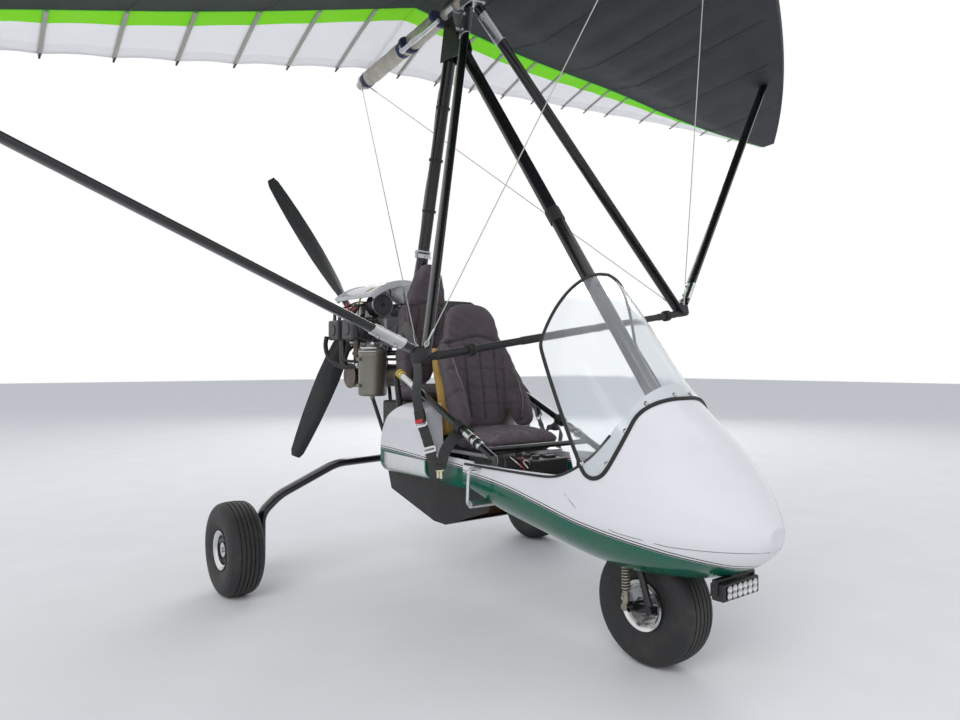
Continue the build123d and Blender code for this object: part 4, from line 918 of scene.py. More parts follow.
batten_lead = leading(BATTEN_Y)[:, None]
batten_join, batten_rear = [behind_nose(BATTEN_Y, edge)[:, None] for edge in (DOUBLE_EDGE, REAR_EDGE)]
for side, name in SIDES:
    under = pockets(side, batten_join - 0.004, batten_rear - 0.004, top_height, 0.022, 0.009, 0.007,
                    taper=0.8)
    above = pockets(side, batten_lead - 0.12, batten_rear - 0.002, top_height, 0.024, 0.008, -0.002,
                    count=30)
    make_piece(f"batten_pockets_{name}", under + above, "wing", "pocket_cloth")
    seams = pockets(side, batten_lead - 0.10, batten_join + 0.012, under_height, 0.004, 0.003, 0.001,
                    count=20)
    make_piece(f"rib_seams_{name}", seams[::2], "wing", "seam_cloth")
    tips = pockets(side, batten_rear + 0.012, batten_rear - 0.022, top_height, 0.013, 0.011, 0.007,
                   count=4, taper=0.7)
    make_piece(f"batten_tips_{name}", tips, "wing", "soft_rubber")

# %% [markdown]
# The keel wears a cream cloth sleeve, pinched by two navy bands and laced along one side, and a
# thinner alloy tube is strapped below it. A sleeve of cloth is a tube whose radius wanders: a few
# sines along and round it, added to the tube's own radius.

# %% Keel sleeve
SLEEVE_WIDTH = 0.084


def cloth_tube(start_x, end_x, pinches, rows=70, count=28):
    """A tube on the keel: radius * (1 + small sines), drawn in where a band pinches it."""
    t = np.linspace(0, 1, rows)[:, None]
    angle = np.linspace(0, 2 * np.pi, count, endpoint=False)[None, :]
    wave = (0.030 * np.sin(3 * angle + 11 * t) * np.sin(23 * t) + 0.018 * np.sin(5 * angle - 31 * t)
            + 0.012 * np.sin(67 * t + 2 * angle))
    pinch = sum(0.16 * np.exp(-((t - place) / 0.022) ** 2) for place in pinches)
    radius = SLEEVE_WIDTH / 2 * (1 + wave - pinch)
    x = np.broadcast_to(start_x * (1 - t) + end_x * t, radius.shape)
    return tube_shape(on_wing(np.stack([x, radius * np.cos(angle), radius * np.sin(angle)], 2)))


make_piece("keel_sleeve", [cloth_tube(-0.875, -0.12, (0.05, 0.56))], "wing", "cream_sleeve")
keel_bands = [cloth_tube(x, x + 0.032, (), rows=5) for x in (-0.853, -0.468)]
make_piece("keel_bands", keel_bands, "wing", "navy_band")
lace = on_wing(straight((-0.86, 0.030, 0.030), (-0.14, 0.030, 0.030), 30))
make_piece("keel_lacing", [carried(lace, ring(0.009, count=8), WING_UP)], "wing", "navy_band")
side_tube = sleeve(*on_wing([(-0.40, -0.056, -0.040), (-0.06, -0.056, -0.040)]), 0.026, up=WING_UP)
make_piece("keel_side_tube", [side_tube], "wing", "bright_steel")
holders = [sleeve(*on_wing([(x, -0.026, -0.018), (x + 0.02, -0.026, -0.018)]), 0.112, 0.074,
                  up=wing_way((0, 0.35, 1))) for x in (-0.38, -0.10)]
make_piece("side_tube_straps", holders, "wing", "navy_band")

# %% [markdown]
# Struts and downtubes end in fittings: a bright alloy sleeve with two bolts where each wing strut
# meets the control bar, an alloy channel at the head of each downtube, and rubber collars on the
# bar. Each is placed by the length along its tube at which the photograph shows it.

# %% Fittings of the control frame
BAR = np.array([0.390, 0.0, -1.625])
BAR_CORNER = BAR + (0, 0.780, 0)
APEX = np.array([0.137, 0.028, -0.061])
STRUT_FOOT = BAR + (-0.012, 0.825, 0.040)
STRUT_HEAD = np.array([-0.080, 2.88, base_height(2.88) + 0.006])


def span(start, end, first, last):
    """The part of a tube from first to last metres from its start, in the wing's frame."""
    way = unit(end - start)
    return np.stack([start + way * first, start + way * last])


def fitted(start, end, part, size, up, power, bolts_at, bolt):
    """A flat sleeve over part of a tube, and the bolts across it: half length, shank, radius."""
    half, shank, radius = bolt
    profile = [(0.001, -half), (radius - 0.0005, -half), (radius, -shank), (radius, shank),
               (radius - 0.0005, half), (0.001, half)]
    across = wing_way(unit(np.cross(end - start, (1, 0, 0))))
    return (sleeve(*on_wing(span(start, end, *part)), *size, up=wing_way(up), power=power),
            [lathe(profile, on_wing(span(start, end, at, at)[0]), across, 6) for at in bolts_at])


fittings, bolts, heads = [], [], []
for side in (1, -1):
    mirror = np.array([1, side, 1])
    for kind, *row in ((fittings, STRUT_FOOT * mirror, STRUT_HEAD * mirror, (0.035, 0.165), (0.071, 0.033),
                        (0, -side, 0.6), 2.3, (0.062, 0.135), (0.024, 0.018, 0.008)),
                       (heads, APEX * mirror, BAR_CORNER * mirror, (0.035, 0.185), (0.066, 0.032),
                        (0, side, 0.5), 2.6, (0.06, 0.155), (0.022, 0.017, 0.0075))):
        cap, pair = fitted(*row)
        kind.append(cap)
        bolts += pair
# columns: start y, end y, diameter
BAR_COLLARS = ([(y, y + 0.012, 0.052) for y in (-0.582, -0.566, 0.65, 0.666)]
               + [(-0.735, -0.60, 0.034), (0.60, 0.735, 0.034), (-0.30, 0.30, 0.034)])
collars = [sleeve(*on_wing([BAR + (0, low, 0), BAR + (0, high, 0)]), size)
           for low, high, size in BAR_COLLARS]
make_piece("strut_sleeves", fittings, "wing", "bright_steel")
make_piece("downtube_heads", heads, "wing", "alloy")
make_piece("fitting_bolts", bolts, "wing", "steel")
make_piece("bar_collars", collars, "wing", "soft_rubber")

# %% [markdown]
# Rigging wires end in swaged sleeves and thimbles at the corners and at the keel. The tangs they
# hook into are small bright tabs, so a short fat sleeve and a ring at each end read as the real ones.

# %% Wire ends
def wire_end(start, end, reach=0.05):
    """A swaged sleeve on the wire's first centimetres and a thimble ring before it."""
    way = unit(end - start)
    angle = np.linspace(0, 2 * np.pi, 15)[:, None]
    helper = unit(np.cross(way, (1, 0, 0)))
    loop = start + way * 0.018 + 0.012 * np.cos(angle) * way + 0.008 * np.sin(angle) * helper
    swage = on_wing(span(start, end, 0.030, 0.030 + reach))
    return [sleeve(*swage, 0.0085, up=wing_way((1, 0.2, 0)), count=10),
            carried(on_wing(loop), ring(0.004, count=6), wing_way(np.cross(way, helper)))]


swages = []
for side in (1, -1):
    for start, end in (((0.410, 0.790, -1.591), (1.405, 0.050, -0.029)),
                       ((0.362, 0.790, -1.591), (-0.885, 0.018, -0.010))):
        start, end = np.array(start) * (1, side, 1), np.array(end) * (1, side, 1)
        swages += wire_end(start, end) + wire_end(end, start)
make_piece("wire_swages", swages, "wing", "bright_steel")

# %% [markdown]
# The screen is held by a black rubber edge trim all round, and by a row of small screws along its
# foot. The trim follows the outline that the screen was cut to, which is known in side view. Its
# points fall sideways on to the screen, and the other side is the same line mirrored.

# %% Edge trim of the screen
NOSE_AXLE_X = 1.610
REAR, HEEL, STEP, RISE = np.array([(-0.301, 1.100), (-0.048, 0.690), (0.038, 0.680), (0.083, 0.830)])
INSIDE_SCREEN = (-0.06, 1.02)
TRIM_WIDTH, TRIM_INSET = 0.013, 0.004
SCREW_STEP, SCREW_INSET = 0.09, 0.018
outline = np.vstack([arc((-0.225, 1.385), (-0.283, 1.215), REAR, 40),
                     REAR + (HEEL - REAR) * np.linspace(0.02, 0.98, 26)[:, None],
                     arc(HEEL, (-0.006, 0.655), STEP, 12), arc(STEP, (0.068, 0.757), RISE, 12),
                     arc(RISE, (0.096, 0.880), (0.135, 0.914), 12),
                     straight((0.14, 0.914), (0.30, 0.914), 40)])
outline = outline + TRIM_INSET * unit(np.array(INSIDE_SCREEN) - outline) + (NOSE_AXLE_X, 0)
screen_triangles = triangles_of("windscreen")
edge_line = landed(from_side(outline), (0, -1, 0), screen_triangles, lift=-0.002)
mirrored = (edge_line * [1, -1, 1] + [0, 2 * datum[1], 0])[::-1]
edge_path = loosened(even(np.vstack([edge_line, mirrored, edge_line[:1]]), 0.012))
trim = carried(edge_path, ring(TRIM_WIDTH, count=10, power=2.6), unit(edge_path - placed((1.45, 0, 1.0))))
make_piece("screen_edge_trim", [trim], "chassis", "soft_rubber")

foot = edge_path[(edge_path[:, 2] < 0.93) & (edge_path[:, 0] > placed((1.56, 0, 0))[0])]
screws = []
for flip in (1, -1):
    spaced = even(foot[(foot[:, 1] - datum[1]) * flip > 0.03], SCREW_STEP)
    seats = spaced + SCREW_INSET * unit(placed((1.60, 0, 1.05)) - spaced)
    seats = landed(seats * [1, 0, 1] + [0, datum[1] + BESIDE * flip, 0], (0, -flip, 0), screen_triangles)
    head = lathe([(0.0005, -0.002), (0.0085, -0.002), (0.0085, 0.0012), (0.0055, 0.0016), (0.0045, 0.0042),
                  (0.0005, 0.005)], (0, 0, 0), (0.25, flip, 0.35), 10)
    screws.append(repeated(head, seats))
make_piece("screen_screws", screws, "chassis", "bright_steel")

# %% [markdown]
# The open edge of the cockpit, where a hand grips the shell, wears a soft black trim too. It runs
# along the tub's top edge and on up the nose cone's rear rim on each side.

# %% Cockpit rim trim
rim_side = np.vstack([straight((0.945, 0.637), (1.44, 0.6465), 30),
                      [(1.475, 0.652), (1.50, 0.665), (1.543, 0.688), (1.60, 0.731), (1.640, 0.799)]])
rims = []
for flip in (1, -1):
    line = landed(from_side(rim_side, flip), (0, -flip, 0), shell_triangles, lift=0.001)
    rims.append(carried(loosened(even(line, 0.02), 4), ring(0.009, 0.011, 10, 2.4), (0, flip, 0)))
make_piece("cockpit_rim_trim", rims, "chassis", "soft_rubber")

# %% [markdown]
# The seam between the nose cone and the tub is a fine gap with a grey gasket in it. It is a thin
# round cord whose middle lies on the shell, so it stands proud by half its thickness.

# %% Seam of the nose cone
seam_side = np.array([(-0.11, 0.600), (-0.04, 0.540), (0.08, 0.500), (0.24, 0.478), (0.40, 0.4755),
                      (0.452, 0.4745)]) + (NOSE_AXLE_X, 0)
gaskets = []
for flip in (1, -1):
    line = landed(even(from_side(seam_side, flip), 0.008), (0, -flip, 0), shell_triangles)
    gaskets.append(carried(loosened(line, 2), ring(0.0026, count=6), (0, flip, 0)))
make_piece("nose_seam_gasket", gaskets, "chassis", "grey_gasket")

# %% [markdown]
# Each side pod carries a white plate for a registration. The library's copy is bare. A plate is a
# thin panel laid on the pod's flat flank, so a flat grid falls on to it, a little lifted.

# %% Bare plates on the pods
pod_triangles = triangles_of("side_pods")
PLATE_GRID = (12, 8)
along, rise = np.meshgrid(*(np.linspace(0, 1, count) for count in PLATE_GRID), indexing="ij")
flank = np.stack([0.300 + 0.335 * along, 0.544 + (0.078 - 0.006 * along) * rise], 2).reshape(-1, 2)
plates = [fall_on(from_side(flank, flip), (0, -flip, 0), pod_triangles, lift=0.0012) for flip in (1, -1)]
plates = [sheet_shape(plate.reshape(*PLATE_GRID, 3)) for plate in plates]
thicken(make_piece("bare_plates", plates, "chassis", "plate_white"), 0.002)

# %% [markdown]
# The seats are quilted cloth over foam. A pad is first a bundle of soft lobes: a back, a hood for
# the head and a bolster on each side, each a swollen box whose squareness is one power. Voxel
# remeshing melts the lobes into one skin, and a short cloth simulation blows it up against its
# own cloth, which pulls the edges in and leaves the small tensions that real padding has.

# %% Lobes of a pad
def lobe(centre, half, power=(3.2, 3.2), taper=(0.0, 0.0), lean=0.0, rows=26, count=36):
    """A swollen box: centre + half * signed powers of sine and cosine of two angles. Taper narrows
    x and y towards the top, and lean shears x forward towards the bottom."""
    tall = np.linspace(-np.pi / 2, np.pi / 2, rows)[:, None]
    angle = np.linspace(0, 2 * np.pi, count, endpoint=False)[None, :]

    def swell(value, exponent):
        return np.sign(value) * np.abs(value) ** (2 / exponent)

    z = np.broadcast_to(swell(np.sin(tall), power[1]), (rows, count))
    around = np.maximum(swell(np.cos(tall), power[1]), 1e-3)
    x = around * swell(np.cos(angle), power[0]) * (1 - taper[0] * (z + 1) / 2)
    y = around * swell(np.sin(angle), power[0]) * (1 - taper[1] * (z + 1) / 2)
    grid = np.stack([x, y, z], 2) * half + centre
    grid[:, :, 0] -= lean * (grid[:, :, 2] - centre[2])
    return tube_shape(grid)


SEAT_TOP_Z = 0.662
TANK_TOP_Z = 0.850
FRONT_FOOT = np.array([0.640, 0.0, 0.722])
REAR_FOOT = np.array([0.0726, 0.0, 0.910])
FRONT_LEAN, REAR_LEAN = -10.0, 14.11


def in_seat(points, foot, lean):
    """Points in a seat's own frame (x towards the sitter, z up its back) as places in the model."""
    return placed(np.asarray(points, float) @ turn("y", lean).T + foot)


def from_seat(points, foot, lean):
    """The other way: the model's places in the seat's own frame."""
    return (np.asarray(points, float) - datum - foot) @ turn("y", lean)


front_back_lobes = [
    lobe((0.000, 0, 0.225), (0.036, 0.168, 0.222)),
    lobe((0.002, 0, 0.385), (0.038, 0.190, 0.085), taper=(0, 0.10)),
    lobe((0.000, 0, 0.490), (0.045, 0.176, 0.108), taper=(0, 0.34), power=(3.4, 3.2)),
] + [lobe((0.050, side * 0.170, 0.215), (0.088, 0.030, 0.208), power=(3.0, 2.8), taper=(0.58, 0),
          lean=0.30) for side in (1, -1)]
rear_back_lobes = [
    lobe((0.002, 0, 0.245), (0.035, 0.118, 0.238)),
    lobe((0.002, 0, 0.375), (0.038, 0.146, 0.105), taper=(0, 0.10)),
    lobe((0.000, 0, 0.500), (0.044, 0.146, 0.138), taper=(0, 0.60), power=(3.4, 3.0)),
] + [lobe((0.045, side * 0.118, 0.225), (0.080, 0.026, 0.205), power=(3.0, 2.8), taper=(0.55, 0),
          lean=0.28) for side in (1, -1)]
front_seat_lobes = [lobe((0.788, 0, SEAT_TOP_Z + 0.042), (0.180, 0.196, 0.042), power=(5.0, 2.8)),
                    lobe((0.934, 0, SEAT_TOP_Z + 0.040), (0.042, 0.188, 0.039), power=(3.0, 2.6))]
rear_seat_lobes = [lobe((0.300, 0, TANK_TOP_Z + 0.038), (0.162, 0.187, 0.033), power=(5.0, 2.6))]

# %% [markdown]
# The simulation is Blender's Cloth with pressure inside and no weight. All the pads swell in the
# same twenty frames. How far a point may go is capped, so no pad pushes into its neighbour, and
# the result is read back as plain points.

# %% Swelling
PADS = {
    # name: shapes, seat frame, voxel, fill, the solid it stands for
    "front_back_pad": (front_back_lobes, (FRONT_FOOT, FRONT_LEAN), 0.0075, 0.8, "front_backrest"),
    "rear_back_pad": (rear_back_lobes, (REAR_FOOT, REAR_LEAN), 0.0075, 0.8, "rear_backrest"),
    "front_seat_pad": (front_seat_lobes, None, 0.0070, 0.7, "front_cushion"),
    "rear_seat_pad": (rear_seat_lobes, None, 0.0075, 0.7, "rear_cushion"),
}
PRESSURE, LAST_FRAME, FARTHEST = 4.0, 20, 0.010


def melted(name, shapes, seat, voxel):
    """The lobes as one skin of even small faces."""
    points, faces = put_together(shapes)
    points = placed(points) if seat is None else in_seat(points, *seat)
    rough = bpy.data.objects.new(name + "_rough", make_mesh(name + "_rough", (points, faces)))
    bpy.context.scene.collection.objects.link(rough)
    remesh = rough.modifiers.new("melt", "REMESH")
    remesh.mode = "VOXEL"
    remesh.voxel_size = voxel
    ready = rough.evaluated_get(bpy.context.evaluated_depsgraph_get())
    skin = bpy.data.objects.new(name, bpy.data.meshes.new_from_object(ready))
    bpy.data.objects.remove(rough)
    bpy.context.scene.collection.objects.link(skin)
    return skin


pads = {name: melted(name, shapes, seat, voxel) for name, (shapes, seat, voxel, *_) in PADS.items()}
start_points = {name: points_of(pad.data) for name, pad in pads.items()}
for pad in pads.values():
    cloth = pad.modifiers.new("swell", "CLOTH")
    cloth.settings.use_pressure = True
    cloth.settings.uniform_pressure_force = PRESSURE
    cloth.settings.effector_weights.gravity = 0.0
    cloth.settings.quality = 4
    cloth.point_cache.frame_start, cloth.point_cache.frame_end = 1, LAST_FRAME
for number in range(1, LAST_FRAME + 1):
    bpy.context.scene.frame_set(number)
graph = bpy.context.evaluated_depsgraph_get()
for name, pad in pads.items():
    swollen = bpy.data.meshes.new_from_object(pad.evaluated_get(graph))
    moved = points_of(swollen) - start_points[name]
    far = np.linalg.norm(moved, axis=1, keepdims=True)
    moved *= np.minimum(1.0, FARTHEST / np.maximum(far, 1e-9))
    pad.modifiers.clear()
    pad.data.vertices.foreach_set("co", (start_points[name] + moved).ravel())
    print(name, "swelled by", round(float(far.mean()) * 1000, 1), "mm on average")
bpy.context.scene.frame_set(1)

# %% [markdown]
# Seams come after the swelling. Each is a line in the seat's own frame, and a point sinks along
# its normal by depth * exp(-(distance / width)^2). The same sum is stored on the points as an
# attribute, so that the cloth's colour can carry painted shade, darkening in the stitched grooves
# without any image.

# %% Sewn channels
def groove(distance, low, high, at, width=0.0055):
    """How much a seam acts on points: a bell over the distance, fading past both ends."""
    ends = np.clip((at - low) / 0.015, 0, 1) * np.clip((high - at) / 0.015, 0, 1)
    return np.exp(-(distance / width) ** 2) * ends


def back_seams(p, half, hood):
    """Upright and level seams of a backrest, and the fold under its hood."""
    x, y, z = p.T
    ahead = np.clip(x / 0.012, 0, 1)
    flat = half - 0.052
    upright = sum(groove(y - place, 0.04, hood - 0.015, z) for place in (-0.42 * half, 0.0, 0.42 * half))
    level = sum(groove(z - place - 0.012 * np.cos(9 * y), -flat, flat, y) for place in (0.11, 0.18, 0.27))
    fold = groove(z - hood - 0.012 * np.cos(4 * y / half), -half, half, y, 0.008)
    wings = sum(groove(z - place - 0.35 * (x - 0.02), flat + 0.01, 0.3, np.abs(y), 0.009)
                for place in (0.14, 0.26)) * 0.5
    piping = groove(np.abs(y) - flat - 0.006, 0.02, hood, z, 0.006)
    side_seam = groove(x + 0.004, 0.02, 0.9, z, 0.005) * (np.abs(y) > half - 0.09) * 0.6
    return np.clip((upright + 0.6 * level + piping) * ahead + 1.3 * fold + wings + side_seam, 0, 1.4)


def seat_seams(p, centre_x, half):
    """Seams that fan out over a seat pad, one level seam near its rear, and the seam round it."""
    x, y, z = p.T
    above = np.clip((z - 0.012) / 0.012, 0, 1)
    spread_out = 1 + 0.5 * (x - centre_x)
    fan = sum(groove(y / spread_out - place, centre_x - 0.13, centre_x + 0.175, x)
              for place in (-0.12, -0.072, -0.024, 0.024, 0.072, 0.12))
    frame_line = groove(np.abs(y) - half + 0.045, centre_x - 0.15, centre_x + 0.15, x)
    return np.clip((fan + frame_line) * above + 0.8 * np.exp(-(z / 0.004) ** 2), 0, 1.2)


SEAMS = {
    "front_back_pad": lambda p: back_seams(from_seat(p, FRONT_FOOT, FRONT_LEAN), 0.198, 0.415),
    "rear_back_pad": lambda p: back_seams(from_seat(p, REAR_FOOT, REAR_LEAN), 0.144, 0.435),
    "front_seat_pad": lambda p: seat_seams(p - placed((0, 0, SEAT_TOP_Z + 0.036)), 0.785, 0.19),
    "rear_seat_pad": lambda p: seat_seams(p - placed((0, 0, TANK_TOP_Z + 0.036)), 0.300, 0.185),
}
SEAM_DEPTH = 0.0065


def sewn(pad, seams):
    """The pad subdivided once and pressed in along its seams, its creases uneven by a few sines."""
    smoothing = pad.modifiers.new("round", "SUBSURF")
    smoothing.levels = smoothing.render_levels = 1
    fine = bpy.data.meshes.new_from_object(pad.evaluated_get(bpy.context.evaluated_depsgraph_get()))
    pad.modifiers.clear()
    old, pad.data = pad.data, fine
    bpy.data.meshes.remove(old)
    points = points_of(fine)
    normals = np.empty(3 * len(fine.vertices))
    fine.vertices.foreach_get("normal", normals)
    pressed = seams(points)
    x, y, z = (points - datum).T
    puckers = 0.0011 * np.sin(61 * x + 37 * z) * np.sin(53 * y + 11) + 0.0008 * np.sin(140 * z + 90 * y)
    shift = -SEAM_DEPTH * pressed + puckers
    fine.vertices.foreach_set("co", (points + shift[:, None] * normals.reshape(-1, 3)).ravel())
    # the seam sum is also kept for the painted shade in the grooves and folds
    seam = fine.attributes.new("seam", "FLOAT", "POINT")
    seam.data.foreach_set("value", pressed.astype(np.float32))
    fine.shade_smooth()
    fine.update()


for name, pad in pads.items():
    sewn(pad, SEAMS[name])
    print(name, len(pad.data.polygons), "faces")

# %% [markdown]
# The cloth itself is a plum canvas: crossed yarns too fine to see as lines, a soft sheen, paler
# where it is rubbed, and nearly black in the stitched grooves and folds, a painted shade which the
# stored seam gives.

# %% Quilted cloth
SEAT_YARNS = 3600.0
quilt, tree, shader = new_material("quilted seat cloth")
plum = patched(tree, drifting(tree, (0.092, 0.058, 0.076), 0.28, 9.0), 0.5, (0.15, 0.105, 0.13),
               scale=16.0, low=0.52)
# painted shade: the stored seam sum darkens the cloth nearly black in the stitched grooves and folds
seam_shade_attribute = node(tree, "ShaderNodeAttribute", attribute_name="seam")
groove_shade = maths(tree, "MULTIPLY", seam_shade_attribute.outputs["Fac"], 0.75)
crumple = maths(tree, "MULTIPLY", object_noise(tree, 34.0, detail=6, rough=0.6), 9.0)
lay_on(tree, shader, blend_colours(tree, groove_shade, plum, (0.016, 0.010, 0.014)),
       object_noise(tree, 30, detail=5), (0.72, 0.92),
       maths(tree, "ADD", weave(tree, "Z", "Y", SEAT_YARNS), crumple), 0.0006,
       {"Sheen Weight": 0.35, "Specular IOR Level": 0.3})
for name, (*_, fill, solid) in PADS.items():
    pads[name].data.materials.append(quilt)
    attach(pads[name], "chassis")
    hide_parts(solid)

# %% [markdown]
# A pale piping is sewn along the front edge of each bolster. Its points start in front of the seat
# and fall back on to the finished pad, so the cord lies in the cloth wherever the swelling put it.

# %% Piping
for name, foot, lean, half, top in (("front_back_pad", FRONT_FOOT, FRONT_LEAN, 0.166, 0.40),
                                    ("rear_back_pad", REAR_FOOT, REAR_LEAN, 0.116, 0.42)):
    triangles = mesh_triangles(pads[name].data)
    height = np.linspace(top, 0.045, 26)
    lines = []
    for flip in (1, -1):
        start = np.stack([np.full(26, 0.3), flip * (half - 0.012 + 0.014 * (height / top)), height], 1)
        path = landed(in_seat(start, foot, lean), turn("y", lean) @ (-1, 0, 0), triangles, -0.0005)
        lines.append(carried(loosened(even(path, 0.012)), ring(0.0045, count=8), (0, flip, 0)))
    make_piece(name.replace("back_pad", "seat_piping"), lines, "chassis", "piping_cloth")

# %% [markdown]
# Behind the front seat hangs a canvas pouch, an ochre bag that is heavier at the bottom, open and
# slack at the top. As a grid it is a flat closed outline carried down the seat's back: its depth
# grows as it nears the bottom, and a few sines fold its cloth and its upper edge.

# %% Pouch
POUCH_BACK, POUCH_TOP = -0.070, 0.385
rows, count = 40, 64
down = np.linspace(0, 1, rows)[:, None]
angle = np.linspace(0, 2 * np.pi, count, endpoint=False)[None, :]
flat_c = np.sign(np.cos(angle)) * np.abs(np.cos(angle)) ** 0.7
flat_s = np.sign(np.sin(angle)) * np.abs(np.sin(angle)) ** 0.42
belly = 0.016 + 0.014 * np.sin(np.pi * np.clip(down * 0.9 + 0.05, 0, 1)) ** 0.6 + 0.004 * down
closing = np.sqrt(np.clip((1 - down) / 0.06, 0, 1)) * 0.9 + 0.1
folds = (0.0045 * np.sin(9 * angle + 5 * down) * (1 - 0.4 * down)
         + 0.0030 * np.sin(17 * angle - 9 * down) + 0.0020 * np.sin(40 * down + 4 * angle))
x = POUCH_BACK - (belly + folds) * closing * flat_c
y = (0.172 + 0.004 * np.sin(8 * down)) * flat_s * (0.94 + 0.06 * closing)
z = POUCH_TOP - POUCH_TOP * down + 0.010 * np.sin(3 * angle) * (1 - down) ** 2
x, y, z = np.broadcast_arrays(x, y, z)
pouch = make_piece("canvas_pouch", [tube_shape(in_seat(np.stack([x, y, z], 2), FRONT_FOOT, FRONT_LEAN))],
                   "chassis", "ochre_cloth", smooth=70)
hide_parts("seat_pouch")
top_line = in_seat(np.stack([x[1], y[1], z[1] - 0.004], 1), FRONT_FOOT, FRONT_LEAN)
hem = carried(np.vstack([top_line, top_line[:1]]), ring(0.005, 0.012, 8), turn("y", FRONT_LEAN) @ (0, 0, 1))
make_piece("pouch_hem", [hem], "chassis", "ochre_cloth")

# %% [markdown]
# Two lap belts hang over the side of the pod. Webbing is flat: 50 mm wide and 2 mm thick, and each
# run is one flat outline carried along a few measured places, with its broad face turned to the
# shell it lies on. Between two runs it passes a plate with a slot.

# %% Lap belts
def strap(points, facing, width=0.050, thick=0.0022):
    """Flat webbing along measured places: a squarish outline, thin towards facing, with its path and
    its width slightly uneven."""
    path = even(smooth_path(placed(points), 12), 0.006)
    length = np.linspace(0, 1, len(path))
    path = path + 0.0012 * np.sin(19 * length)[:, None] * facing
    return carried(path, ring(width, thick, 12, 7.0), facing, 1 + 0.02 * np.sin(47 * length))


def closed_ring(grid):
    """The faces of a grid whose last row is its first again, so it has a hole and no ends."""
    rows, columns = grid.shape[0] - 1, grid.shape[1]
    i, j = np.meshgrid(np.arange(rows), np.arange(columns), indexing="ij")
    k, n = (i + 1) % rows, (j + 1) % columns
    faces = np.stack([i * columns + j, i * columns + n, k * columns + n, k * columns + j], 2)
    return grid[:-1].reshape(-1, 3), faces.reshape(-1, 4)


def buckle_plate(centre, along, facing, width=0.064, height=0.026, thick=0.004):
    """A plate with a slot: two rows of a rounded outline, outer and inner, on both its faces."""
    along, facing = unit(along), unit(facing)
    across = np.cross(facing, along)
    outer, inner = ring(width, height, 24, 5.0), ring(width - 0.014, height - 0.016, 24, 5.0)
    levels = [(inner, thick / 2), (outer, thick / 2), (outer, -thick / 2), (inner, -thick / 2)]
    rows = [placed(centre) + shape[:, :1] * across + shape[:, 1:] * along + depth * facing
            for shape, depth in levels]
    return closed_ring(np.stack(rows + rows[:1]))


OUT = np.array([0.42, -0.91, 0.0])
MIRRORS = np.array([(1, -1, 1), (1, 1, 1)])
BELT_RUNS = (
    [(0.225, -0.158, 1.215), (0.330, -0.190, 1.170), (0.440, -0.232, 1.085), (0.530, -0.270, 0.985),
     (0.592, -0.316, 0.890), (0.620, -0.326, 0.845), (0.642, -0.329, 0.812)],
    [(0.660, -0.330, 0.770), (0.688, -0.329, 0.722), (0.712, -0.328, 0.680)],
    [(0.720, -0.329, 0.664), (0.742, -0.331, 0.610), (0.750, -0.328, 0.540), (0.746, -0.322, 0.450)],
    [(0.842, -0.210, 0.738), (0.848, -0.262, 0.752), (0.842, -0.300, 0.726), (0.822, -0.318, 0.690),
     (0.800, -0.324, 0.640), (0.788, -0.324, 0.612)],
)
belts = [strap(run * mirror, OUT * mirror) for mirror in MIRRORS for run in BELT_RUNS]
plates = [buckle_plate(centre * mirror, (0.3, 0, -1), OUT * mirror)
          for mirror in MIRRORS for centre in ((0.655, -0.333, 0.774), (0.716, -0.331, 0.672))]
make_piece("lap_belts", belts, "chassis", "webbing")
make_piece("belt_plates", plates, "chassis", "bright_steel")
print("belt runs:", len(belts))

# %% [markdown]
# Each belt ends in a buckle: a black housing with a red press button, and a pale plastic clip on
# the second belt's end. They are small rounded blocks, so one function makes them all.

# %% Buckles and clips
def small_block(centre, along, facing, length, width, thick):
    """A rounded block: an outline shrunk at both ends, carried a short way along its axis."""
    along, facing = unit(along), unit(facing)
    start = placed(centre) - along * length / 2
    return sleeve(start, start + along * length, width, thick, up=facing, edge=min(0.004, thick / 4),
                  count=16, power=5.0)


# columns: piece, look, then for each block its centre, direction, length, width and thickness
BELT_BLOCKS = (
    ("belt_housings", "black_plastic", ((0.648, -0.334, 0.806), (0.28, 0, -1), 0.060, 0.050, 0.020),
     ((0.786, -0.326, 0.606), (0.2, 0, -1), 0.022, 0.052, 0.010)),
    ("belt_buttons", "red_button", ((0.656, -0.345, 0.786), (0.28, 0, -1), 0.016, 0.038, 0.004)),
    ("belt_clips", "clip_cream", ((0.770, -0.326, 0.578), (0.1, 0, -1), 0.036, 0.011, 0.007),
     ((0.792, -0.326, 0.578), (0.1, 0, -1), 0.036, 0.011, 0.007),
     ((0.783, -0.326, 0.594), (0.1, 0, -1), 0.012, 0.036, 0.008)),
)
for name, look_name, *rows in BELT_BLOCKS:
    make_piece(name, [small_block(centre * mirror, along, OUT * mirror, *size)
                      for mirror in MIRRORS for centre, along, *size in rows], "chassis", look_name)

# %% [markdown]
# The side rails carry small fittings that break their black length: a bright sleeve behind, two
# yellow bands, a black rubber collar and a bright joint in front. All are collars slid on a tube,
# so each is a straight sleeve between two places on the rail's own line.

# %% Rail fittings
RAIL = np.array([(0.362, 0.280, 1.000), (1.090, 0.284, 0.668)])


def on_rail(x, side):
    """The place on the sloping rail at x, on the side asked for."""
    share = (x - RAIL[0, 0]) / (RAIL[1, 0] - RAIL[0, 0])
    return placed((RAIL[0] + share * (RAIL[1] - RAIL[0])) * [1, side, 1])


# columns: piece, look, then for each collar its start x, end x and diameter
RAIL_COLLARS = (
    ("rail_bright_collars", "bright_steel", (0.405, 0.520, 0.0320), (0.905, 0.942, 0.0380),
     (0.958, 0.974, 0.0420), (0.992, 1.006, 0.0360)),
    ("rail_yellow_collars", "yellow_band", (0.392, 0.402, 0.0400), (0.414, 0.424, 0.0400)),
    ("rail_rubber_collars", "soft_rubber", (0.838, 0.876, 0.0440)),
)
for name, look_name, *rows in RAIL_COLLARS:
    make_piece(name, [sleeve(on_rail(a, side), on_rail(b, side), size, edge=0.002)
                      for a, b, size in rows for side in (1, -1)], "chassis", look_name)

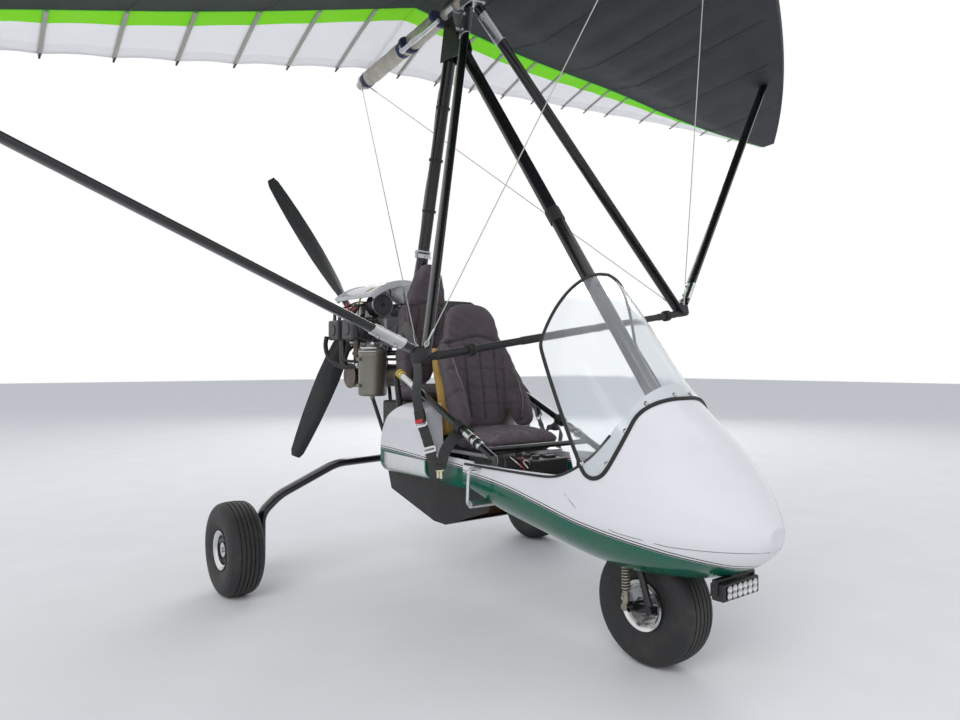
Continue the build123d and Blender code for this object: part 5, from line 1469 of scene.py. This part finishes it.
# %% [markdown]
# The mast is two tubes: a clamp with pale jaws grips it half way up, and black ties hold the
# cables that run along its rear. The front strut wears one joint sleeve.

# %% Mast and strut fittings
MAST_FOOT, MAST_SLOPE = np.array([-0.092, 0.0, 0.575]), 0.2514
STRUT_LINE = placed([(1.860, 0, 0.575), (0.470, 0, 2.530)])


def on_mast(height):
    """The mast's axis at a height."""
    return placed(MAST_FOOT + [MAST_SLOPE * (height - MAST_FOOT[2]), 0, height - MAST_FOOT[2]])


mast_ties = [sleeve(on_mast(z), on_mast(z + 0.014), 0.070, edge=0.002) for z in (1.30, 1.78, 2.02, 2.26)]
make_piece("mast_ties", mast_ties, "chassis", "soft_rubber")
mast_clamp = [sleeve(on_mast(1.560), on_mast(1.585), 0.076, edge=0.003),
              sleeve(on_mast(1.590), on_mast(1.600), 0.072, edge=0.002)]
for side in (1, -1):
    ear = on_mast(1.572) + [0, side * 0.042, 0]
    mast_clamp.append(sleeve(ear + [0, 0, -0.014], ear + [0, 0, 0.022], 0.011, edge=0.001, count=12))
make_piece("mast_clamp", mast_clamp, "chassis", "alloy")
mast_cables = []
for shift, size in ((-0.012, 0.008), (0.003, 0.006), (0.013, 0.007)):
    sway = 0.0018 * np.sin(np.linspace(0, 21, 24) + shift * 200)[:, None] * [1, 1, 0]
    line = np.array([on_mast(z) + [-0.033, shift, 0] for z in np.linspace(0.95, 2.36, 24)])
    mast_cables.append(carried(line + sway, ring(size, count=8), (0, 1, 0)))
make_piece("mast_cables", mast_cables, "chassis", "soft_rubber")
foot, run = STRUT_LINE[0], STRUT_LINE[1] - STRUT_LINE[0]
strut_joint = [sleeve(foot + run * low, foot + run * high, 0.063, edge=0.003, up=(0, 1, 0))
               for low, high in ((0.520, 0.548), (0.036, 0.052))]
make_piece("strut_joint", strut_joint, "chassis", "black_plastic")

# %% [markdown]
# Between the seat and the nose lies a nest of small wires that feed the switch box. Each wire is a
# thin hose through five places; the places come from one start and one end with sines between, so
# no two wires lie alike. Red, white and black ones are pieces of their own.

# %% Wires by the switch box
def wire_places(number, phase):
    """Five places from the box's side down into the tub, bowed outward by its own amount."""
    t = np.linspace(0, 1, 5)[:, None]
    start = np.array([1.045 + 0.018 * number, -0.192, 0.655])
    end = np.array([1.150 + 0.012 * number, -0.235, 0.640])
    bow = np.stack([0.02 * np.sin(5 * t[:, 0] + number), -0.016 * np.sin(np.pi * t[:, 0]),
                    (0.020 + 0.004 * (number % 3)) * np.sin(np.pi * t[:, 0] + phase)], 1)
    return start * (1 - t) + end * t + bow


# columns: piece, look, numbers of the wires, diameter, phase of the bow
WIRE_SETS = (("wires_black", "soft_rubber", (0, 1, 2, 4, 6), 0.0055, 0.0),
             ("wires_red", "red_rubber", (3, 5), 0.0040, 0.2),
             ("wires_white", "dial_white", (2, 7), 0.0035, -0.2))
for name, look_name, numbers, size, phase in WIRE_SETS:
    make_piece(name, [hose(wire_places(k, phase), size, count=8) for k in numbers], "chassis", look_name)
box_plugs = [small_block((1.060 + 0.024 * k, -0.186, 0.640), (0, 1, 0), (0, 0, 1), 0.016, 0.016, 0.012)
             for k in range(5)]
make_piece("box_plugs", box_plugs, "chassis", "black_plastic")

# %% [markdown]
# The engine wears its plumbing outside. Plug leads run from the ignition boxes on top to the plugs
# of the four barrels, a red hose ties the two carburettors' balance, a black hose brings oil back
# from the tank. Each is a round tube through a few measured places.

# %% Hoses and leads
# columns: x of the barrels, x of their leads at the ignition boxes, x where the leads come down
BARRELS = ((-0.110, -0.140, -0.125), (-0.265, -0.260, -0.255))
leads, caps = [], []
for x, box_x, down_x in BARRELS:
    for side in (1, -1):
        for twin in (-0.028, 0.028):
            leads.append(hose([(box_x + twin * 0.4, side * 0.058, 1.316),
                               (down_x + twin, side * 0.085, 1.352),
                               (x + twin * 1.3, side * 0.165, 1.345 + twin * 0.3),
                               (x + twin * 1.1, side * 0.235, 1.318), (x + twin, side * 0.262, 1.284)],
                              0.0075, count=10))
            caps.append(sleeve(*placed([(x + twin, side * 0.262, 1.270), (x + twin, side * 0.262, 1.300)]),
                               0.017, up=(1, 0, 0), count=14))
make_piece("plug_leads", leads, "chassis", "soft_rubber")
make_piece("plug_caps", caps, "chassis", "black_plastic")
make_piece("balance_hose", [hose([(-0.302, side * 0.186, 1.352), (-0.262, side * 0.198, 1.322),
                                  (-0.205, side * 0.200, 1.312), (-0.160, side * 0.190, 1.326)], 0.016)
                            for side in (1, -1)], "chassis", "red_rubber")
oil_hoses = [hose([(-0.025, -0.236, 1.030), (-0.085, -0.270, 1.012), (-0.180, -0.294, 1.016),
                   (-0.270, -0.306, 1.060), (-0.318, -0.302, 1.120), (-0.326, -0.292, 1.170)], 0.024),
             hose([(-0.025, -0.224, 1.052), (-0.085, -0.252, 1.040), (-0.170, -0.262, 1.046),
                   (-0.200, -0.240, 1.080), (-0.205, -0.200, 1.120)], 0.016),
             hose([(0.030, -0.215, 1.105), (0.030, -0.208, 1.150), (0.018, -0.170, 1.172),
                   (0.006, -0.120, 1.176)], 0.018)]
make_piece("oil_hoses", oil_hoses, "chassis", "soft_rubber")
brass_pipe = hose([(-0.150, -0.200, 1.335), (-0.120, -0.192, 1.380), (-0.080, -0.160, 1.412),
                   (-0.070, -0.105, 1.424), (-0.085, -0.050, 1.418), (-0.130, -0.020, 1.380)], 0.010)
make_piece("brass_pipe", [brass_pipe], "chassis", "brass")
hose_clips = [sleeve(*placed(ends), 0.027, edge=0.001)
              for ends in ([(-0.047, -0.249, 1.022), (-0.060, -0.256, 1.018)],
                           [(0.029, -0.213, 1.122), (0.029, -0.211, 1.134)])]
make_piece("hose_clips", hose_clips, "chassis", "bright_steel")
print("plug leads:", len(leads))

# %% [markdown]
# The filter's lid wears a pale ring and a ring of small bosses, the oil tank a bright collar with
# a clamp, and the cowl a rolled lip all round. Rings and collars are turned profiles. The lip
# follows the cowl's own arch, which is the circle through three points.

# %% Filter lid, tank collar and cowl lip
def circle(centre, radius, count, axis, offset=0.0):
    """Places of a circle round an axis along x or y."""
    angle = 2 * np.pi * (np.arange(count) / count) + offset
    c, s, zero = radius * np.cos(angle), radius * np.sin(angle), np.zeros(count)
    return np.asarray(centre) + np.stack([zero, c, s] if axis == "x" else [c, zero, s], 1)


FORWARD = (1, 0, 0)
boss = lathe([(0.0060, 0.0), (0.0055, 0.004), (0.0005, 0.0045)], (0, 0, 0), FORWARD, 10)
rings, lids = [], []
for side in (1, -1):
    face = placed((-0.0415, side * 0.115, 1.332))
    rings.append(lathe([(0.0520, -0.001), (0.0530, 0.0018), (0.0600, 0.0022), (0.0614, -0.001),
                        (0.0608, -0.008), (0.0590, -0.008)], face, FORWARD, 40))
    lids.append(lathe([(0.0005, -0.001), (0.0470, -0.001), (0.0470, 0.0008), (0.0380, 0.0016),
                       (0.0300, 0.0008), (0.0005, 0.0010)], face, FORWARD, 40))
    lids.append(repeated(boss, circle(face, 0.034, 8, "x")))
make_piece("filter_rings", rings, "chassis", "alloy")
make_piece("filter_lids", lids, "chassis", "dark_casting")
tank = placed((0.030, -0.215, 0.985))
collars = [lathe([(0.0695, low), (0.0725, low + 0.001), (0.0725, low + size - 0.001), (0.0695, low + size)],
                 tank, (0, 0, 1), 40) for low, size in ((0.088, 0.018), (0.058, 0.007))]
collars.append(lathe([(0.0600, 0.116), (0.0600, 0.124), (0.0560, 0.127), (0.0005, 0.127)], tank,
                     (0, 0, 1), 36))
collars.append(sleeve(tank + [-0.068, -0.022, 0.045], tank + [-0.046, -0.014, 0.045], 0.028, edge=0.002,
                      count=12))
make_piece("tank_collars", collars, "chassis", "bright_steel")
COWL_FRONT, COWL_REAR = 0.006, -0.386
arch = arc((-0.205, 1.380), (0.0, 1.458), (0.205, 1.380), 40)
lips = []
for x in (COWL_FRONT, COWL_REAR):
    line = placed(np.stack([np.full(len(arch), x), arch[:, 0], arch[:, 1] - 0.013], 1))
    lips.append(carried(line, ring(0.008, 0.034, 10, 3.0)))
for side in (1, -1):
    line = placed(straight((COWL_FRONT, side * 0.205, 1.376), (COWL_REAR, side * 0.205, 1.376), 12))
    lips.append(carried(line, ring(0.008, 0.022, 10, 3.0), (0, side * 0.35, 1)))
make_piece("cowl_lip", lips, "chassis", "cowl_paint")

# %% [markdown]
# The propeller's hub is a stack of plates held by six bolts, and each wheel's rim is two halves
# held by a ring of bolts round the axle, with a rubber valve stem. One bolt is modelled and set
# down at the places of a circle.

# %% Bolts of hub and rims
BOLT_CIRCLE, STEM_CIRCLE = 0.043, 0.058


def bolt_head(axis, size=0.013, height=0.008):
    """A hexagon head with a washer under it, as one turned profile with six corners."""
    return lathe([(0.0005, -0.001), (size * 0.62, -0.001), (size * 0.62, 0.001), (size * 0.5, 0.0012),
                  (size * 0.5, height * 0.85), (size * 0.42, height), (0.0005, height)], (0, 0, 0), axis, 6)


hub = placed((-0.565, 0, 1.311)) + [-0.026, 0, 0]
make_piece("hub_bolts", [repeated(bolt_head((-1, 0, 0)), circle(hub, BOLT_CIRCLE, 6, "x"))], "propeller",
           "bright_steel")
for place, stem_side in (("nose", -1), ("left", 1), ("right", -1)):
    body, rim = f"{place}_wheel", f"{place}_rim"
    middle = (np.array(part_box(rim)[0]) + np.array(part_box(rim)[1])) / 2
    rim_triangles = triangles_of(rim)
    heads = []
    for side in (1, -1):
        start = circle(middle + [0, side * 0.2, 0], BOLT_CIRCLE, 6, "y", 0.3)
        heads.append(repeated(bolt_head((0, side, 0), 0.010, 0.006),
                              landed(start, (0, -side, 0), rim_triangles, 0.0005)))
    start = circle(middle + [0, stem_side * 0.2, 0], STEM_CIRCLE, 1, "y", 2.1)
    at = landed(start, (0, -stem_side, 0), rim_triangles)[0]
    stem = sleeve(at - [0, stem_side * 0.002, 0], at + [0, stem_side * 0.022, 0], 0.009, count=12)
    make_piece(f"{rim}_bolts", heads, body, "bright_steel")
    make_piece(f"{place}_valve_stem", [stem], body, "soft_rubber")

# %% [markdown]
# The lamp under the nose is a bar of small cells, two rows of six, behind one clear front. Each
# cell is a bright shallow cup with a pale dot in it.

# %% Lamp cells
cells = placed([(1.9455, y, 0.336 + z) for y in np.linspace(-0.068, 0.068, 6) for z in (-0.0092, 0.0092)])
cup = lathe([(0.0005, -0.001), (0.0125, -0.001), (0.0125, 0.010), (0.0115, 0.010), (0.006, 0.002),
             (0.0035, 0.0012), (0.0005, 0.0012)], (0, 0, 0), FORWARD, 20)
dot = lathe([(0.0005, 0.0005), (0.0035, 0.0010), (0.003, 0.0030), (0.0005, 0.0035)], (0, 0, 0), FORWARD, 12)
make_piece("lamp_cups", [repeated(cup, cells)], "chassis", "bright_steel")
make_piece("lamp_dots", [repeated(dot, cells)], "chassis", "clip_cream")

# %% [markdown]
# A coil spring is a helix: with an angle a that grows, the wire's middle is at (radius * cos a,
# radius * sin a, pitch * a / (2 * pi)). Both springs of the nose gear stand upright.

# %% Coil springs
SPRING_X, SPRING_Y = 1.583, 0.110
COIL_RADIUS, COIL_PITCH, COIL_WIRE = 0.0134, 0.0101, 0.0052
COILS, POINTS_PER_COIL = 16, 18
angle = np.linspace(0, 2 * np.pi * COILS, COILS * POINTS_PER_COIL + 1)
coils = []
for side in (1, -1):
    helix = np.stack([SPRING_X + COIL_RADIUS * np.cos(angle), side * SPRING_Y + COIL_RADIUS * np.sin(angle),
                      SPRING_FOOT_Z + COIL_PITCH * angle / (2 * np.pi)], 1)
    coils.append(carried(placed(helix), ring(COIL_WIRE, count=8)))
make_piece("spring_coils", coils, "steering", "spring_steel")

# %% [markdown]
# Two round gauges face the pilot. Each has a bright bezel, a dark face, a ring of plain ticks and
# a needle. The ticks carry no figures and no name.

# %% Gauges
def stroke(dial, angle, start, end, lift, size, edge):
    """A thin flat bar on a dial at an angle, from one radius to another."""
    way = np.array([0, math.cos(angle), math.sin(angle)])
    centre = dial + [-lift, 0, 0]
    return sleeve(centre + way * start, centre + way * end, *size, up=FORWARD, edge=edge, count=6)


TICK_ANGLES = np.radians(np.linspace(-220, 40, 14))
NEEDLE_ANGLE = -2.4
bezels, dial_faces, ticks, needles = [], [], [], []
for side in (1, -1):
    dial = placed((1.652, side * 0.110, 0.745))
    bezels.append(lathe([(0.036, -0.001), (0.036, 0.0035), (0.039, 0.0045), (0.0425, 0.002),
                         (0.0425, -0.001)], dial, (-1, 0, 0), 40))
    dial_faces.append(lathe([(0.0005, -0.001), (0.037, -0.001), (0.037, 0.0006), (0.0005, 0.0006)], dial,
                            (-1, 0, 0), 40))
    ticks += [stroke(dial, a, 0.0295 if k % 3 else 0.0270, 0.0335, 0.0010, (0.0012, 0.0008), 0.0002)
              for k, a in enumerate(TICK_ANGLES)]
    needles.append(stroke(dial, NEEDLE_ANGLE, -0.006, 0.026, 0.0018, (0.0022, 0.0010), 0.0003))
make_piece("gauge_bezels", bezels, "chassis", "bright_steel")
make_piece("gauge_faces", dial_faces, "chassis", "dial_black")
make_piece("gauge_ticks", ticks, "chassis", "dial_white")
make_piece("gauge_needles", needles, "chassis", "yellow_band")

# %% [markdown]
# The studio's floor is one wide pale square that takes the shadow. It belongs to the stage and not
# to the aircraft.

# %% Floor
FLOOR_HALF = 40.0
floor_mesh = bpy.data.meshes.new("floor")
edge = FLOOR_HALF
floor_mesh.from_pydata([(-edge, -edge, 0), (edge, -edge, 0), (edge, edge, 0), (-edge, edge, 0)], [],
                       [(0, 1, 2, 3)])
floor_mesh.materials.append(looks["floor_grey"])
show("floor", floor_mesh)

# %% [markdown]
# The camera, the gloss and the glass see the world as white paper, and everything else is lit by a
# dimmer, bluish fill. Three large soft lamps come from the front, from above and from behind, as a
# bright overcast sky does in the photograph.

# %% World and lamps
SKY_FILL, FILL_STRENGTH = (0.86, 0.9, 1.0, 1), 0.62
scene = bpy.context.scene
scene.view_settings.view_transform = "Standard"
scene.world = bpy.data.worlds.new("studio")
scene.world.use_nodes = True
tree = scene.world.node_tree
tree.nodes.clear()
ray = node(tree, "ShaderNodeLightPath")
seen = maths(tree, "MAXIMUM", ray.outputs["Is Camera Ray"], ray.outputs["Is Glossy Ray"])
seen = maths(tree, "MAXIMUM", seen, ray.outputs["Is Transmission Ray"])
sky = node(tree, "ShaderNodeBackground", inputs={"Color": SKY_FILL, "Strength": FILL_STRENGTH})
paper = node(tree, "ShaderNodeBackground", inputs={"Color": (1, 1, 1, 1), "Strength": 1.0})
mix = node(tree, "ShaderNodeMixShader")
output = node(tree, "ShaderNodeOutputWorld")
for source, target in ((seen, mix.inputs["Fac"]), (sky.outputs[0], mix.inputs[1]),
                       (paper.outputs[0], mix.inputs[2]), (mix.outputs[0], output.inputs["Surface"])):
    tree.links.new(source, target)


def soft_lamp(name, place, aim, size, power, hidden_in_gloss=False):
    """A square lamp at place, turned so that its -Z looks at aim."""
    data = bpy.data.lights.new(name, "AREA")
    data.size, data.energy = size, power
    ahead = unit(np.subtract(aim, place))
    side = unit(np.cross(ahead, [0, 0, 1])) if abs(ahead[2]) < 0.999 else np.array([1.0, 0, 0])
    stand(name, data, place, side, np.cross(side, ahead), ahead).visible_glossy = not hidden_in_gloss


soft_lamp("key", (6.0, -7.0, 6.0), (0.8, 0, 1.0), 6.0, 470, hidden_in_gloss=True)
soft_lamp("top", (0.5, 0.0, 8.0), (0.5, 0, 0.5), 8.0, 110)
soft_lamp("back", (-6.0, 6.0, 5.0), (0.5, 0, 1.0), 6.0, 230)
